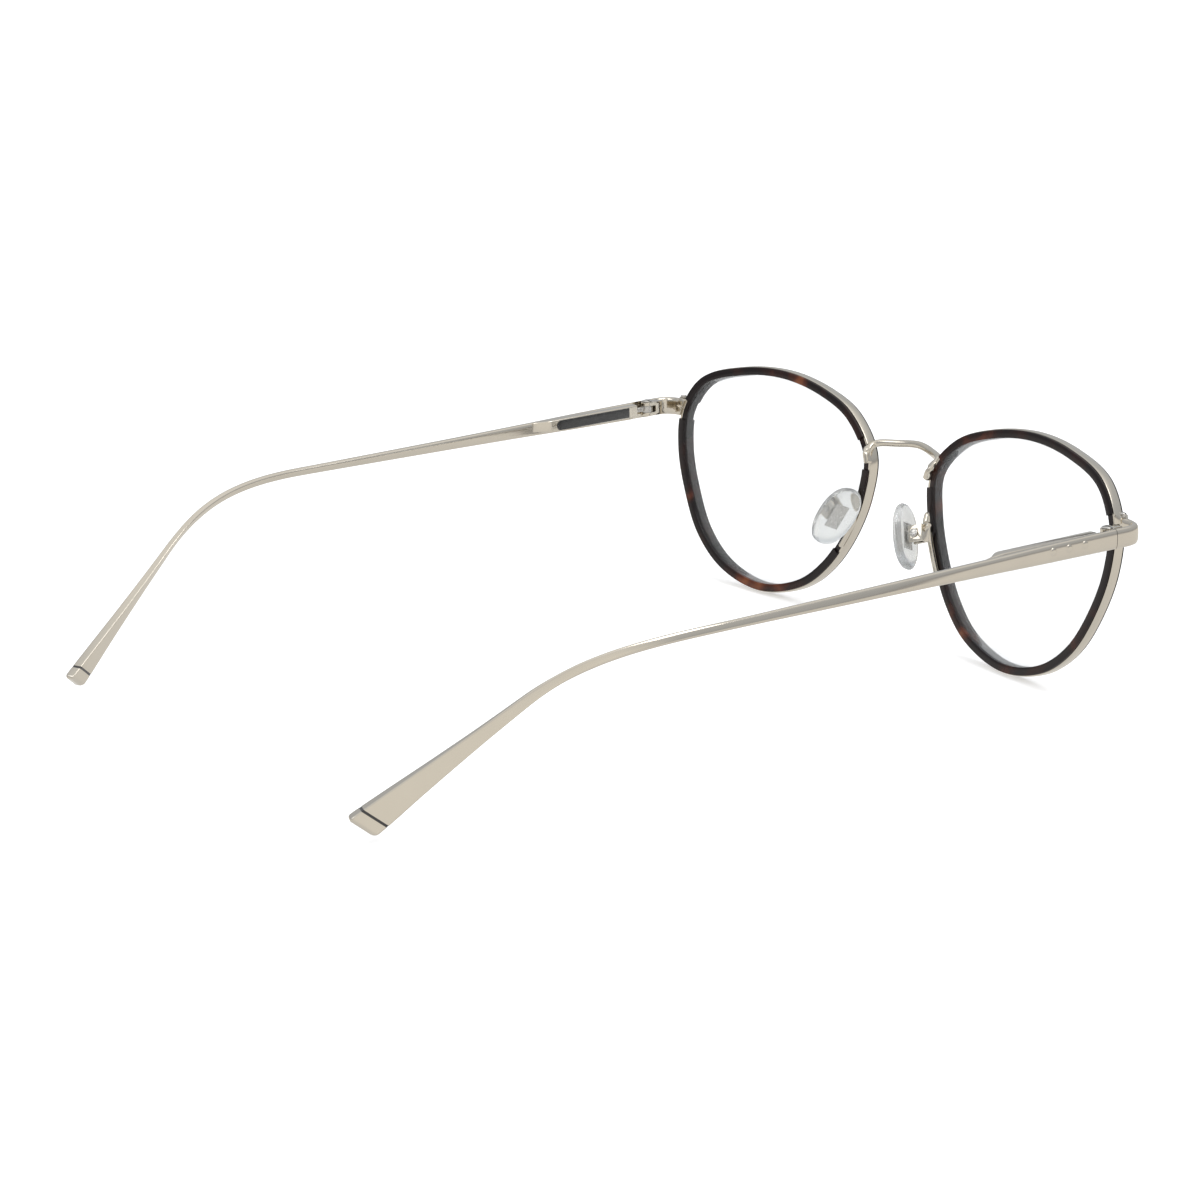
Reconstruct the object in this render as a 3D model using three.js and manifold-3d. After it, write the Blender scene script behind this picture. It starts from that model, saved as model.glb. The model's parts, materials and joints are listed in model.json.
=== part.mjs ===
// Eyeglasses: two lenses in acetate rings inside metal eyewires, a bridge, nose pads on wire arms,
// and two temples on spring hinges.
// Millimetres. +X is the wearer's left, +Y runs back along the temples, +Z is up. The frame stands open
// on the table at z = 0. The wearer's left half is modelled and the right half is its mirror image.
import * as THREE from "three";
import { mergeVertices } from "three/addons/utils/BufferGeometryUtils.js";
import Module from "manifold-3d";

const wasm = await Module();
wasm.setup();
const degrees = THREE.MathUtils.degToRad;

// Overall sizes
const LENS_WIDTH = 51;
const LENS_HEIGHT = 41.2;
const LENS_GAP = 17.5; // between the two lenses, at the nose
const TEMPLE_LENGTH = 145; // along the temple, from the hinge to the end of the tip
const EAR_BEND = 103; // from the hinge to the bend over the ear
const LENS_TILT = degrees(7); // the top of the front leans forward
const LENS_WRAP = degrees(4.9); // each lens turns back at the side
const LENS_CURVE = 130; // radius of the lens surfaces
const CLEARANCE = 0.05; // between pieces that seat on each other

// Rim: distances across it are from the lens edge, outward, and depths are from the lens edge, backward
const LENS_THICKNESS = 1.2;
const RIM_STATIONS = 48;
const RING_REACH = 0.75; // how far the acetate reaches out and in from the lens edge
const RING_DEPTH = 2.8;
const BAND_DEPTH = 1.9; // width of the metal eyewire, front to back
const BAND_FLOOR = 0.4; // the band's inner face
const BAND_OUTER = 0.95; // the band's outer face
const EYEWIRE_SLIT = 0.35;
const BLOCK_REACH = 1.5; // how far the closing block stands out from the band
const BLOCK_HEIGHT = 2.8; // both halves together
const BLOCK_FRONT = -0.75;
const BLOCK_BACK = 1.15;
const RIM_SCREW_RADIUS = 0.4;
// The lens edge as shares of half the width and half the height, from the top, by way of the temple side
const LENS_EDGE = [
  [0, 1], [0.43, 0.947], [0.82, 0.775], [0.985, 0.46],
  [0.985, 0.1], [0.88, -0.28], [0.7, -0.64], [0.42, -0.895],
  [0, -1], [-0.42, -0.862], [-0.665, -0.62], [-0.85, -0.28],
  [-0.965, 0.1], [-0.98, 0.46], [-0.765, 0.765], [-0.43, 0.925],
];

// Hinge and end piece, in the hinge's own frame: the screw is its Z axis and the temple runs along +Y
const HINGE_OUT = 3.9; // from the outer edge of the eyewire to the hinge screw, sideways
const HINGE_BACK = 6.75; // from the eyewire to the hinge screw, backward
const HINGE_HEIGHT = 9.65; // above the lens centre, measured on the front
const TEMPLE_DROP = degrees(1.8);
const TEMPLE_CONVERGE = degrees(0.7);
const KNUCKLE_RADIUS = 1.2;
const KNUCKLE_HEIGHT = 1.2; // the middle knuckle
const EAR_THICKNESS = 0.68; // each outer knuckle
const SCREW_RADIUS = 0.5;
const SCREW_HEAD_RADIUS = 0.95;
const SCREW_HEAD_HEIGHT = 0.3;
const BAR_HEIGHT = 3.4;
const BAR_THICKNESS = 1.4;
const BAR_INNER = 0.65; // from the screw's axis out to the bar's inner face
const BAR_LOW = 0.35; // how far the bar's middle sits below the knuckles' middle
const JOINT_AHEAD = 0.4; // from the hinge screw forward to the line where temple and end piece meet
const JOINT_GAP = 0.1;
const WRAP_RADIUS = 3; // outside of the end piece's corner
const WRAP_DEPTH = 6.9; // from the hinge screw forward to the end piece's front face

// Spring hinge
const HOUSING_FRONT = 3;
const HOUSING_LENGTH = 24;
const HOUSING_HEIGHT = 2.4;
const HOUSING_INWARD = 0.95; // from the screw's axis to the housing's inner face
const HOUSING_TAPER = 3.5;
const CHAMBER_RADIUS = 0.5;
const CHAMBER_LENGTH = 13;
const MOUTH = 2;
const STEM_WIDTH = 0.8;
const STEM_RADIUS = 0.2;
const SPRING_TRAVEL = 1;
const SPRING_WIRE = 0.08; // radius
const SPRING_TURNS = 5;
const COLLAR = 0.8;
const INLAY_START = 2; // behind the front of the housing
const INLAY_LENGTH = 17.5;
const INLAY_HEIGHT = 1.9;
const INLAY_DEPTH = 0.15;

// Temple: share of the way to the ear bend, height, thickness, and twist that turns its outer face up
const ARM_TAPER = [
  [0, BAR_HEIGHT, BAR_THICKNESS, 0], [0.15, 3.1, BAR_THICKNESS, 0], [0.27, 2.6, BAR_THICKNESS, 0],
  [0.45, 2.1, 1.35, 12], [0.6, 1.8, 1.25, 20], [0.75, 1.5, 1.15, 25], [0.92, 1.45, 1.1, 28],
];
// The same from the ear bend to the end of the tip
const TIP_FLARE = [
  [0.2, 1.6, 1.05, 30], [0.45, 2.1, 1.3, 25], [0.7, 3.1, 1.6, 20], [0.93, 4.3, 1.9, 15], [1, 4.6, 2, 15],
];
const EAR_DROP = degrees(35.2);
const EAR_INWARD = 4.9; // how far the temple's curve over the ear draws it inward and down
const EAR_FALL = 1.6;
const TIP_INWARD = degrees(16.8);
const BEND_AHEAD = 24; // how far the ear bend's curve reaches forward and back
const BEND_BEHIND = 11;
const BEND_LEAD = 0.38; // how long the curve stays straight, as a share of what is ahead of the bend
const TIP_SKEW = degrees(20); // the tip's end is cut on the slant
const SKEW_LENGTH = 8;
const CAP_LENGTH = 2.4;
const SPACER_LENGTH = 0.4;
const STUD_RADIUS = 0.72;
const STUD_PITCH = 3.5;
const FIRST_STUD = 6.9; // behind the hinge screw
const STUD_DEPTH = 0.8;
const STUD_PROUD = 0.12;

// Bridge
const BRIDGE_HEIGHT = 13.1; // at its middle, above the lens centres
const BRIDGE_FORWARD = 2.5;
const BRIDGE_DROP = 2; // from its middle to the rim
const BRIDGE_THICKNESS = 1.35;
const FOOT_LENGTH = 3;
const FOOT_WIDTH = 1.5;

// Nose pads, in the pad's own frame: +X faces the nose, +Z runs up the pad, the screw lies along Y
const PAD_CENTRE = new THREE.Vector3(9.6, 6.8, -2); // the middle of the pad, from the middle of the front
const PAD_LENGTH = 12.3;
const PAD_WIDTH = 7.8;
const PAD_THICKNESS = 1.8;
const PAD_FLARE = degrees(24); // the pads stand wider apart at the bottom
const PAD_LEAN = degrees(10);
const PAD_SPLAY = degrees(14);
const BOX_WIDTH = 2.3; // along the screw
const BOX_HEIGHT = 3.1;
const BOX_FRONT = 1.15; // from the screw towards the pad
const BOX_WALL = 0.4;
const BOX_SLOT = 1.1;
const TAB_THICKNESS = 0.9;
const PAD_SCREW_RADIUS = 0.4;
const PAD_STANDOFF = 1.65; // from the pad screw to the back of the pad
const ROCK_CLEARANCE = 0.35; // room behind the tab and the pad, for the pad to rock
const INSERT_WIDTH = 2.6; // the plate inside the pad
const INSERT_LENGTH = 4.8;
const INSERT_THICKNESS = 0.35;
const INSERT_INSET = 0.5; // from the back of the pad to the plate
const ARM_WIRE = 0.9;
const ARM_FOOT_TOP = -2.6;
const ARM_FOOT_BOTTOM = -8.2;
const ARM_LOOP_RISE = 5.2; // from the top of the arm's foot to the top of its loop

// Cut-outs in the acetate lips: how far each reaches past the piece that sits in it, up and down
const FOOT_NOTCH_MARGIN = 1.3;
const END_NOTCH_MARGIN = 0.5;
const PAD_NOTCH_MARGIN = 1.5;

const FINISH = {
  nickel: { color: 0xc4beb1, roughness: 0.2, metalness: 1 },
  steel: { color: 0xa8a49a, roughness: 0.3, metalness: 1 },
  tortoise: { color: 0x2e1812, roughness: 0.18, metalness: 0 },
  enamel: { color: 0x14120f, roughness: 0.25, metalness: 0 },
  silicone: { color: 0xe6e8e6, roughness: 0.3, metalness: 0, transparent: true, opacity: 0.5 },
  lens: { color: 0xf4f8fa, roughness: 0.03, metalness: 0, transparent: true, opacity: 0.12 },
};

// Half the distance between the lens centres
const LENS_CENTRE = (LENS_GAP + LENS_WIDTH) / 2;

// ---- Solids -------------------------------------------------------------------------------------

function enclosedVolume(points, index) {
  let sum = 0;
  const [a, b, c] = [new THREE.Vector3(), new THREE.Vector3(), new THREE.Vector3()];
  for (let i = 0; i < index.length; i += 3) {
    a.fromArray(points, 3 * index[i]);
    b.fromArray(points, 3 * index[i + 1]);
    c.fromArray(points, 3 * index[i + 2]);
    sum += a.dot(b.cross(c));
  }
  return sum;
}

// A closed surface through rings of points. A loop of rings joins its last ring to its first, and
// otherwise a fan closes each end.
function loft(rings, loop = false) {
  const sides = rings[0].length;
  const points = rings.flat().flatMap((point) => point.toArray());
  const index = [];
  const spans = loop ? rings.length : rings.length - 1;
  for (let i = 0; i < spans; i++) {
    const next = ((i + 1) % rings.length) * sides;
    for (let j = 0; j < sides; j++) {
      const k = (j + 1) % sides;
      index.push(i * sides + j, i * sides + k, next + k);
      index.push(i * sides + j, next + k, next + j);
    }
  }
  const closeEnd = (first, turn) => {
    const middle = new THREE.Vector3();
    for (let j = 0; j < sides; j++) middle.add(new THREE.Vector3().fromArray(points, 3 * (first + j)));
    const hub = points.length / 3;
    points.push(...middle.divideScalar(sides).toArray());
    for (let j = 0; j < sides; j++) {
      const edge = [first + j, first + ((j + 1) % sides)];
      index.push(hub, ...(turn ? edge.reverse() : edge));
    }
  };
  if (!loop) {
    closeEnd(0, true);
    closeEnd((rings.length - 1) * sides, false);
  }
  if (enclosedVolume(points, index) < 0) index.reverse();
  const geometry = new THREE.BufferGeometry();
  geometry.setAttribute("position", new THREE.Float32BufferAttribute(points, 3));
  geometry.setIndex(index);
  return geometry;
}

function toSolid(geometry) {
  const bare = geometry.clone();
  bare.deleteAttribute("normal");
  bare.deleteAttribute("uv");
  const merged = mergeVertices(bare, 1e-4);
  return new wasm.Manifold(new wasm.Mesh({
    numProp: 3,
    vertProperties: merged.attributes.position.array,
    triVerts: new Uint32Array(merged.index.array),
  }));
}

function toGeometry(solid) {
  const mesh = solid.getMesh();
  const geometry = new THREE.BufferGeometry();
  geometry.setAttribute("position", new THREE.BufferAttribute(mesh.vertProperties, 3));
  geometry.setIndex(new THREE.BufferAttribute(mesh.triVerts, 1));
  return geometry;
}

function cut(geometry, ...tools) {
  return toGeometry(tools.reduce((solid, tool) => solid.subtract(toSolid(tool)), toSolid(geometry)));
}

function join(...pieces) {
  return toGeometry(pieces.map(toSolid).reduce((sum, piece) => sum.add(piece)));
}

// The largest of the bodies that a cut leaves
function mainBody(geometry) {
  const bodies = toSolid(geometry).decompose();
  return toGeometry(bodies.reduce((best, body) => (body.volume() > best.volume() ? body : best)));
}

function block(low, high) {
  const size = high.map((value, i) => value - low[i]);
  const geometry = new THREE.BoxGeometry(...size);
  return geometry.translate(...low.map((value, i) => value + size[i] / 2));
}

// A cylinder along Z between two heights
function rod(radius, low, high, sides = 16) {
  const geometry = new THREE.CylinderGeometry(radius, radius, high - low, sides);
  return geometry.rotateX(Math.PI / 2).translate(0, 0, (low + high) / 2);
}

// A screw along Z: shaft from low to high, then a slotted head on top
function screw(shaftRadius, headRadius, headHeight, low, high) {
  const head = rod(headRadius, high, high + headHeight);
  const slotWidth = headRadius * 0.3;
  const slot = block(
    [-headRadius * 1.2, -slotWidth / 2, high + headHeight / 2],
    [headRadius * 1.2, slotWidth / 2, high + headHeight * 2],
  );
  return cut(join(rod(shaftRadius, low, high + headHeight / 4, 12), head), slot);
}

// A closed outline between an ellipse (square 2) and a rounded rectangle (square 4 and up)
function oval(width, height, square, sides) {
  const reach = (value) => Math.sign(value) * Math.abs(value) ** (2 / square);
  return Array.from({ length: sides }, (_, i) => {
    const angle = (2 * Math.PI * (i + 0.5)) / sides;
    return [(width / 2) * reach(Math.cos(angle)), (height / 2) * reach(Math.sin(angle))];
  });
}

// A bar along a curve. sizeAt gives its thickness, height and twist at each share of the way.
function bar(curve, steps, sides, square, sizeAt) {
  const rings = Array.from({ length: steps + 1 }, (_, i) => {
    const share = i / steps;
    const [thickness, height, twist = 0] = sizeAt(share);
    const along = curve.getTangentAt(share);
    const across = along.clone().cross(new THREE.Vector3(0, 0, 1)).normalize();
    const up = across.clone().cross(along).normalize();
    across.applyAxisAngle(along, twist);
    up.applyAxisAngle(along, twist);
    const centre = curve.getPointAt(share);
    return oval(thickness, height, square, sides).map(([x, z]) =>
      centre.clone().addScaledVector(across, x).addScaledVector(up, z));
  });
  return loft(rings);
}

function smoothPath(...points) {
  return new THREE.CatmullRomCurve3(points, false, "centripetal");
}

function point(x, y, z) {
  return new THREE.Vector3(x, y, z);
}

// A column of a table at a share, on straight lines between its rows. Each row starts with its share
function readTable(rows, share, column) {
  const next = rows.findIndex((row) => row[0] >= share);
  if (next === 0) return rows[0][column];
  if (next < 0) return rows[rows.length - 1][column];
  const [low, high] = [rows[next - 1], rows[next]];
  return THREE.MathUtils.mapLinear(share, low[0], high[0], low[column], high[column]);
}

// ---- Rim, in the front's frame: the origin is midway between the lenses, Y runs back ---------------

const lensEdge = new THREE.CatmullRomCurve3(
  LENS_EDGE.map(([across, up]) => point((across * LENS_WIDTH) / 2, (up * LENS_HEIGHT) / 2, 0)),
  true,
  "centripetal",
);

// The point at a share of the way round the rim, so far outside the lens edge and so deep
function onRim(share, outward, depth) {
  const edge = lensEdge.getPointAt(share % 1);
  const along = lensEdge.getTangentAt(share % 1);
  const across = edge.x - outward * along.y;
  const up = edge.y + outward * along.x;
  const dome = (edge.x ** 2 + edge.y ** 2) / (2 * LENS_CURVE);
  return point(
    LENS_CENTRE + across * Math.cos(LENS_WRAP),
    across * Math.sin(LENS_WRAP) + dome + depth,
    up,
  );
}

// The share of the way round at which the rim passes a height, on the temple side or the nose side
function shareAtHeight(height, nose = false) {
  let [top, bottom] = nose ? [1, 0.5] : [0, 0.5];
  for (let i = 0; i < 30; i++) {
    const middle = (top + bottom) / 2;
    if (lensEdge.getPointAt(middle).y > height) top = middle;
    else bottom = middle;
  }
  return top;
}

// A ring all the way round the rim with the same section everywhere
function rimRing(section) {
  return loft(
    Array.from({ length: RIM_STATIONS }, (_, i) =>
      section.map(([outward, depth]) => onRim(i / RIM_STATIONS, outward, depth))),
    true,
  );
}

function rectangleSection(inner, outer, front, back) {
  return [[inner, front], [outer, front], [outer, back], [inner, back]];
}

// A short stretch of the rim as a solid, from one share to another
function rimStretch(from, to, inner, outer, front, back, steps = 6) {
  const section = rectangleSection(inner, outer, front, back);
  return loft(Array.from({ length: steps + 1 }, (_, i) => {
    const share = THREE.MathUtils.lerp(from, to, i / steps);
    return section.map(([outward, depth]) => onRim(share, outward, depth));
  }));
}

// The stretch of lip cut away between two heights, behind the band or on both of its sides
function lipNotch(high, low, nose, bothLips) {
  const lips = bothLips ? [1, -1] : [1];
  return lips.map((lip) => {
    const [near, far] = [lip * BAND_DEPTH / 2, lip * RING_DEPTH];
    return rimStretch(
      shareAtHeight(high, nose), shareAtHeight(low, nose),
      -2 * RING_REACH, 2 * RING_REACH, Math.min(near, far), Math.max(near, far),
    );
  });
}

const footTop = BRIDGE_HEIGHT - BRIDGE_DROP;
const footBottom = footTop - FOOT_LENGTH;
const endNotch = BLOCK_HEIGHT / 2 + END_NOTCH_MARGIN;

function windsorRing() {
  const half = RING_DEPTH / 2;
  const wall = BAND_DEPTH / 2 + CLEARANCE;
  const floor = BAND_FLOOR - CLEARANCE;
  const groove = LENS_THICKNESS / 2 + 2 * CLEARANCE;
  const ring = rimRing([
    [RING_REACH, -half], [RING_REACH, -wall], [floor, -wall], [floor, wall], [RING_REACH, wall],
    [RING_REACH, half], [-RING_REACH, half], [-RING_REACH, groove], [1.5 * CLEARANCE, 0],
    [-RING_REACH, -groove], [-RING_REACH, -half],
  ]);
  return mainBody(cut(
    ring,
    ...lipNotch(footTop + FOOT_NOTCH_MARGIN, footBottom - FOOT_NOTCH_MARGIN, true, false),
    ...lipNotch(ARM_FOOT_TOP + PAD_NOTCH_MARGIN, ARM_FOOT_BOTTOM - PAD_NOTCH_MARGIN, true, false),
    ...lipNotch(HINGE_HEIGHT + endNotch, HINGE_HEIGHT - endNotch, false, true),
  ));
}

function eyewire() {
  const band = rimRing(rectangleSection(BAND_FLOOR, BAND_OUTER, -BAND_DEPTH / 2, BAND_DEPTH / 2));
  const middle = onRim(shareAtHeight(HINGE_HEIGHT), BAND_OUTER, 0);
  const slit = block(
    [middle.x - 2, middle.y - RING_DEPTH, middle.z - EYEWIRE_SLIT / 2],
    [middle.x + 2, middle.y + RING_DEPTH, middle.z + EYEWIRE_SLIT / 2],
  );
  return cut(band, slit);
}

// The eyewire and the front lip with clearance all round: what is brazed on behind is trimmed to this
function bandEnvelope() {
  const front = -RING_DEPTH / 2 - CLEARANCE;
  const back = BAND_DEPTH / 2 + CLEARANCE;
  return rimRing(rectangleSection(-RING_REACH - CLEARANCE, BAND_OUTER + CLEARANCE, front, back));
}

function demoLens() {
  const half = LENS_THICKNESS / 2;
  const layers = [
    [0.5, -half], [1, -half], [1, 0], [1, half], [0.5, half],
  ];
  const flat = point(LENS_CENTRE, 0, 0);
  const rings = layers.map(([share, depth]) =>
    Array.from({ length: RIM_STATIONS }, (_, i) => {
      const outward = depth === 0 ? 0 : -RING_REACH;
      const edge = onRim(i / RIM_STATIONS, outward, 0);
      const [across, up] = [(edge.x - flat.x) * share, edge.z * share];
      const tilt = across * Math.tan(LENS_WRAP);
      const dome = (edge.y - (edge.x - flat.x) * Math.tan(LENS_WRAP)) * share ** 2;
      return point(flat.x + across, tilt + dome + depth, up);
    }));
  return loft(rings);
}

// ---- Where the hinge sits -----------------------------------------------------------------------

const frontPose = new THREE.Matrix4().makeRotationX(LENS_TILT);
const hingeSeat = onRim(shareAtHeight(HINGE_HEIGHT), BAND_OUTER, 0).applyMatrix4(frontPose);
const hingePose = new THREE.Matrix4()
  .makeRotationFromEuler(new THREE.Euler(-TEMPLE_DROP, 0, TEMPLE_CONVERGE))
  .setPosition(hingeSeat.x + HINGE_OUT, hingeSeat.y + HINGE_BACK, hingeSeat.z);
const frontToHinge = hingePose.clone().invert().multiply(frontPose);

const barCentre = BAR_INNER + BAR_THICKNESS / 2;
const hingeHalf = KNUCKLE_HEIGHT / 2 + CLEARANCE + EAR_THICKNESS;

const knuckleRoomRadius = KNUCKLE_RADIUS + 2 * CLEARANCE;

// The hollow in the end piece round the knuckles
function knuckleRoom() {
  return rod(knuckleRoomRadius, -BAR_HEIGHT, BAR_HEIGHT, 20);
}

// ---- Front pieces -------------------------------------------------------------------------------

// The bar that wraps from the closing block round to the temple
function endPiece() {
  const middle = (BLOCK_FRONT + BLOCK_BACK) / 2;
  const seat = onRim(shareAtHeight(HINGE_HEIGHT), BAND_OUTER, middle).applyMatrix4(frontToHinge);
  const joint = -JOINT_AHEAD - JOINT_GAP / 2;
  const turn = WRAP_RADIUS - BAR_THICKNESS / 2;
  const front = -WRAP_DEPTH + BAR_THICKNESS / 2;
  const path = smoothPath(
    point(seat.x - 1, seat.y, seat.z),
    point(seat.x + BLOCK_REACH, THREE.MathUtils.lerp(seat.y, front, 0.5), seat.z),
    point(barCentre - turn, front, (seat.z - BAR_LOW) / 2),
    point(barCentre - turn * (1 - Math.SQRT1_2), front + turn * (1 - Math.SQRT1_2), -BAR_LOW),
    point(barCentre, front + turn, -BAR_LOW),
    point(barCentre, joint, -BAR_LOW),
  );
  const wrap = bar(path, 16, 12, 3, () => [BAR_THICKNESS, BAR_HEIGHT]);
  const blockRoom = rimStretch(
    shareAtHeight(HINGE_HEIGHT + BAR_HEIGHT), shareAtHeight(HINGE_HEIGHT - BAR_HEIGHT),
    -BAR_HEIGHT, BAND_OUTER + BLOCK_REACH + 2 * CLEARANCE, -BAR_HEIGHT, BAR_HEIGHT,
  );
  return mainBody(cut(wrap, blockRoom.applyMatrix4(frontToHinge), knuckleRoom()));
}

// Upper or lower half of the block that closes the eyewire: brazed on the band, and drilled for the screw
function closingBlock(upper) {
  const [near, far] = [EYEWIRE_SLIT / 2, BLOCK_HEIGHT / 2].map((z) => (upper ? z : -z));
  const half = rimStretch(
    shareAtHeight(HINGE_HEIGHT + Math.max(near, far)), shareAtHeight(HINGE_HEIGHT + Math.min(near, far)),
    BAND_OUTER + CLEARANCE, BAND_OUTER + BLOCK_REACH, BLOCK_FRONT, BLOCK_BACK, 2,
  );
  return cut(half, rod(RIM_SCREW_RADIUS + CLEARANCE, -6, 6, 12).translate(...closingAxis.toArray()));
}

const closingAxis = onRim(shareAtHeight(HINGE_HEIGHT), BAND_OUTER + BLOCK_REACH / 2, BLOCK_BACK / 4);

function rimScrew() {
  const reach = BLOCK_HEIGHT / 2;
  const low = -reach - 3 * CLEARANCE;
  return screw(RIM_SCREW_RADIUS, 0.6, 0.3, low, reach + 10 * CLEARANCE)
    .translate(...closingAxis.toArray());
}

function hingeBracket() {
  const back = -KNUCKLE_RADIUS - 2 * CLEARANCE;
  const plate = block([-KNUCKLE_RADIUS, back - 1.5, -hingeHalf], [BAR_INNER - CLEARANCE, back, hingeHalf]);
  const ears = [1, -1].map((side) => {
    const [near, far] = [KNUCKLE_HEIGHT / 2 + CLEARANCE, hingeHalf].map((z) => side * z);
    const [low, high] = [Math.min(near, far), Math.max(near, far)];
    const web = block([-KNUCKLE_RADIUS, back - 0.4, low], [BAR_INNER - CLEARANCE, 0, high]);
    return join(rod(KNUCKLE_RADIUS, low, high), web);
  });
  return cut(join(plate, ...ears), rod(SCREW_RADIUS + CLEARANCE, -5, 5, 16));
}

function hingeScrew() {
  return screw(SCREW_RADIUS, SCREW_HEAD_RADIUS, SCREW_HEAD_HEIGHT, -hingeHalf, hingeHalf + CLEARANCE);
}

// The bridge: an arch between the rims that turns down into a foot behind each rim
function bridge() {
  const footAt = (height, depth) => onRim(shareAtHeight(height, true), BAND_OUTER - 0.1, depth);
  const end = footAt(footBottom, BAND_DEPTH / 2 + 0.55);
  const turn = footAt(footTop - 0.9, BAND_DEPTH / 2 + 0.35);
  const shoulder = footAt(footTop + 0.1, -0.3).add(point(-0.75, 0, 0.1));
  const quarter = shoulder.x / 2;
  const rise = (x) => BRIDGE_HEIGHT - BRIDGE_DROP * (x / shoulder.x) ** 2;
  const depthAt = (x) => THREE.MathUtils.lerp(-BRIDGE_FORWARD, shoulder.y, (x / shoulder.x) ** 2);
  const half = [
    point(quarter, depthAt(quarter), rise(quarter)), shoulder, turn, end,
  ];
  const mirrored = half.map((p) => point(-p.x, p.y, p.z)).reverse();
  const path = smoothPath(...mirrored, point(0, -BRIDGE_FORWARD, BRIDGE_HEIGHT), ...half);
  const total = path.getLength();
  const arch = bar(path, 36, 8, 3, (share) => {
    const fromEnd = Math.min(share, 1 - share) * total;
    const foot = THREE.MathUtils.smoothstep(FOOT_LENGTH - fromEnd, -0.8, 0.4);
    const size = BRIDGE_THICKNESS;
    return [THREE.MathUtils.lerp(size, FOOT_WIDTH, foot), THREE.MathUtils.lerp(size, 1.1, foot)];
  });
  const envelope = bandEnvelope();
  const other = mirror(bandEnvelope());
  return mainBody(cut(arch, envelope, other));
}

function mirror(geometry) {
  const turned = geometry.clone().scale(-1, 1, 1);
  turned.setIndex([...turned.index.array].reverse());
  return turned;
}

// ---- Nose pad, in the pad's own frame unless it says otherwise --------------------------------------

const padTurn = new THREE.Euler(PAD_LEAN, -PAD_FLARE, Math.PI - PAD_SPLAY);
const padFacing = point(1, 0, 0).applyEuler(padTurn);
const padPose = new THREE.Matrix4()
  .makeRotationFromEuler(padTurn)
  .setPosition(PAD_CENTRE.clone().addScaledVector(padFacing, -PAD_STANDOFF - PAD_THICKNESS / 2));

// The slot leaves room behind the tab for it to rock, and a wall behind that
const tabRoom = TAB_THICKNESS + ROCK_CLEARANCE;
const boxBack = tabRoom + BOX_WALL;

// The pad arm: a foot brazed along the rim, a loop that rises behind the rim, and an end on the pad box
function padArm() {
  const footAt = (height) => onRim(shareAtHeight(height, true), BAND_OUTER - 0.35, BAND_DEPTH / 2 + 0.5);
  const [low, top] = [footAt(ARM_FOOT_BOTTOM), footAt(ARM_FOOT_TOP)];
  const loopTop = top.clone().add(point(0.6, 2.1, ARM_LOOP_RISE));
  const end = point(-boxBack, 0, BOX_HEIGHT * 0.2).applyMatrix4(padPose);
  const path = smoothPath(
    low,
    footAt((ARM_FOOT_BOTTOM + ARM_FOOT_TOP) / 2),
    top,
    top.clone().add(point(0, 1, ARM_LOOP_RISE * 0.55)),
    loopTop,
    loopTop.clone().add(point(0.9, 1, -1.5)),
    end.clone().add(point(0.55, -0.35, 0.9)),
    end,
  );
  const wire = bar(path, 24, 6, 2, () => [ARM_WIRE, ARM_WIRE]);
  const box = block(
    [-boxBack - CLEARANCE, -BOX_WIDTH / 2 - CLEARANCE, -BOX_HEIGHT / 2 - CLEARANCE],
    [BOX_FRONT, BOX_WIDTH / 2 + CLEARANCE, BOX_HEIGHT / 2 + CLEARANCE],
  ).applyMatrix4(padPose);
  return mainBody(cut(wire, bandEnvelope(), box));
}

function alongY(geometry) {
  return geometry.rotateX(Math.PI / 2);
}

function padBox() {
  const body = block([-boxBack, -BOX_WIDTH / 2, -BOX_HEIGHT / 2], [BOX_FRONT, BOX_WIDTH / 2, BOX_HEIGHT / 2]);
  const slot = block([-tabRoom, -BOX_SLOT / 2, -BOX_HEIGHT], [BOX_FRONT * 2, BOX_SLOT / 2, BOX_HEIGHT]);
  return cut(body, slot, alongY(rod(PAD_SCREW_RADIUS + CLEARANCE, -4, 4, 12)));
}

function padScrew() {
  const half = BOX_WIDTH / 2;
  return alongY(screw(PAD_SCREW_RADIUS, 0.8, 0.3, -half, half + CLEARANCE));
}

// The plate inside the pad, or the pocket it sits in
function insertPlate(clearance = 0) {
  const [wide, long] = [INSERT_WIDTH / 2 + clearance, INSERT_LENGTH / 2 + clearance];
  const back = PAD_STANDOFF + INSERT_INSET;
  return block([back - clearance, -wide, -long], [back + INSERT_THICKNESS + clearance, wide, long]);
}

function padInsert() {
  const half = (BOX_SLOT - 2 * CLEARANCE) / 2;
  const plateBack = PAD_STANDOFF + INSERT_INSET;
  const tab = block([0, -half, -TAB_THICKNESS], [plateBack + INSERT_THICKNESS / 2, half, TAB_THICKNESS]);
  const eye = alongY(rod(TAB_THICKNESS, -half, half));
  return cut(join(tab, eye, insertPlate()), alongY(rod(PAD_SCREW_RADIUS + CLEARANCE, -4, 4, 16)));
}

// The soft pad: an oval with a domed face, moulded round the insert
function nosePad() {
  const back = PAD_STANDOFF;
  const layers = [
    [0, 0.8], [0.15, 0.93], [0.4, 1], [0.62, 0.95], [0.85, 0.75], [1, 0.4],
  ];
  const rings = layers.map(([depth, share]) =>
    oval(PAD_WIDTH * share, PAD_LENGTH * share, 2.3, 24).map(([y, z]) =>
      point(back + PAD_THICKNESS * depth, y, z)));
  const half = BOX_SLOT / 2;
  const mouth = block(
    [back - 1, -half, -TAB_THICKNESS - CLEARANCE],
    [back + INSERT_INSET + INSERT_THICKNESS / 2, half, TAB_THICKNESS + CLEARANCE],
  );
  return cut(loft(rings), mouth, insertPlate(CLEARANCE));
}

// ---- Temple, in the hinge's frame -----------------------------------------------------------------

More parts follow.
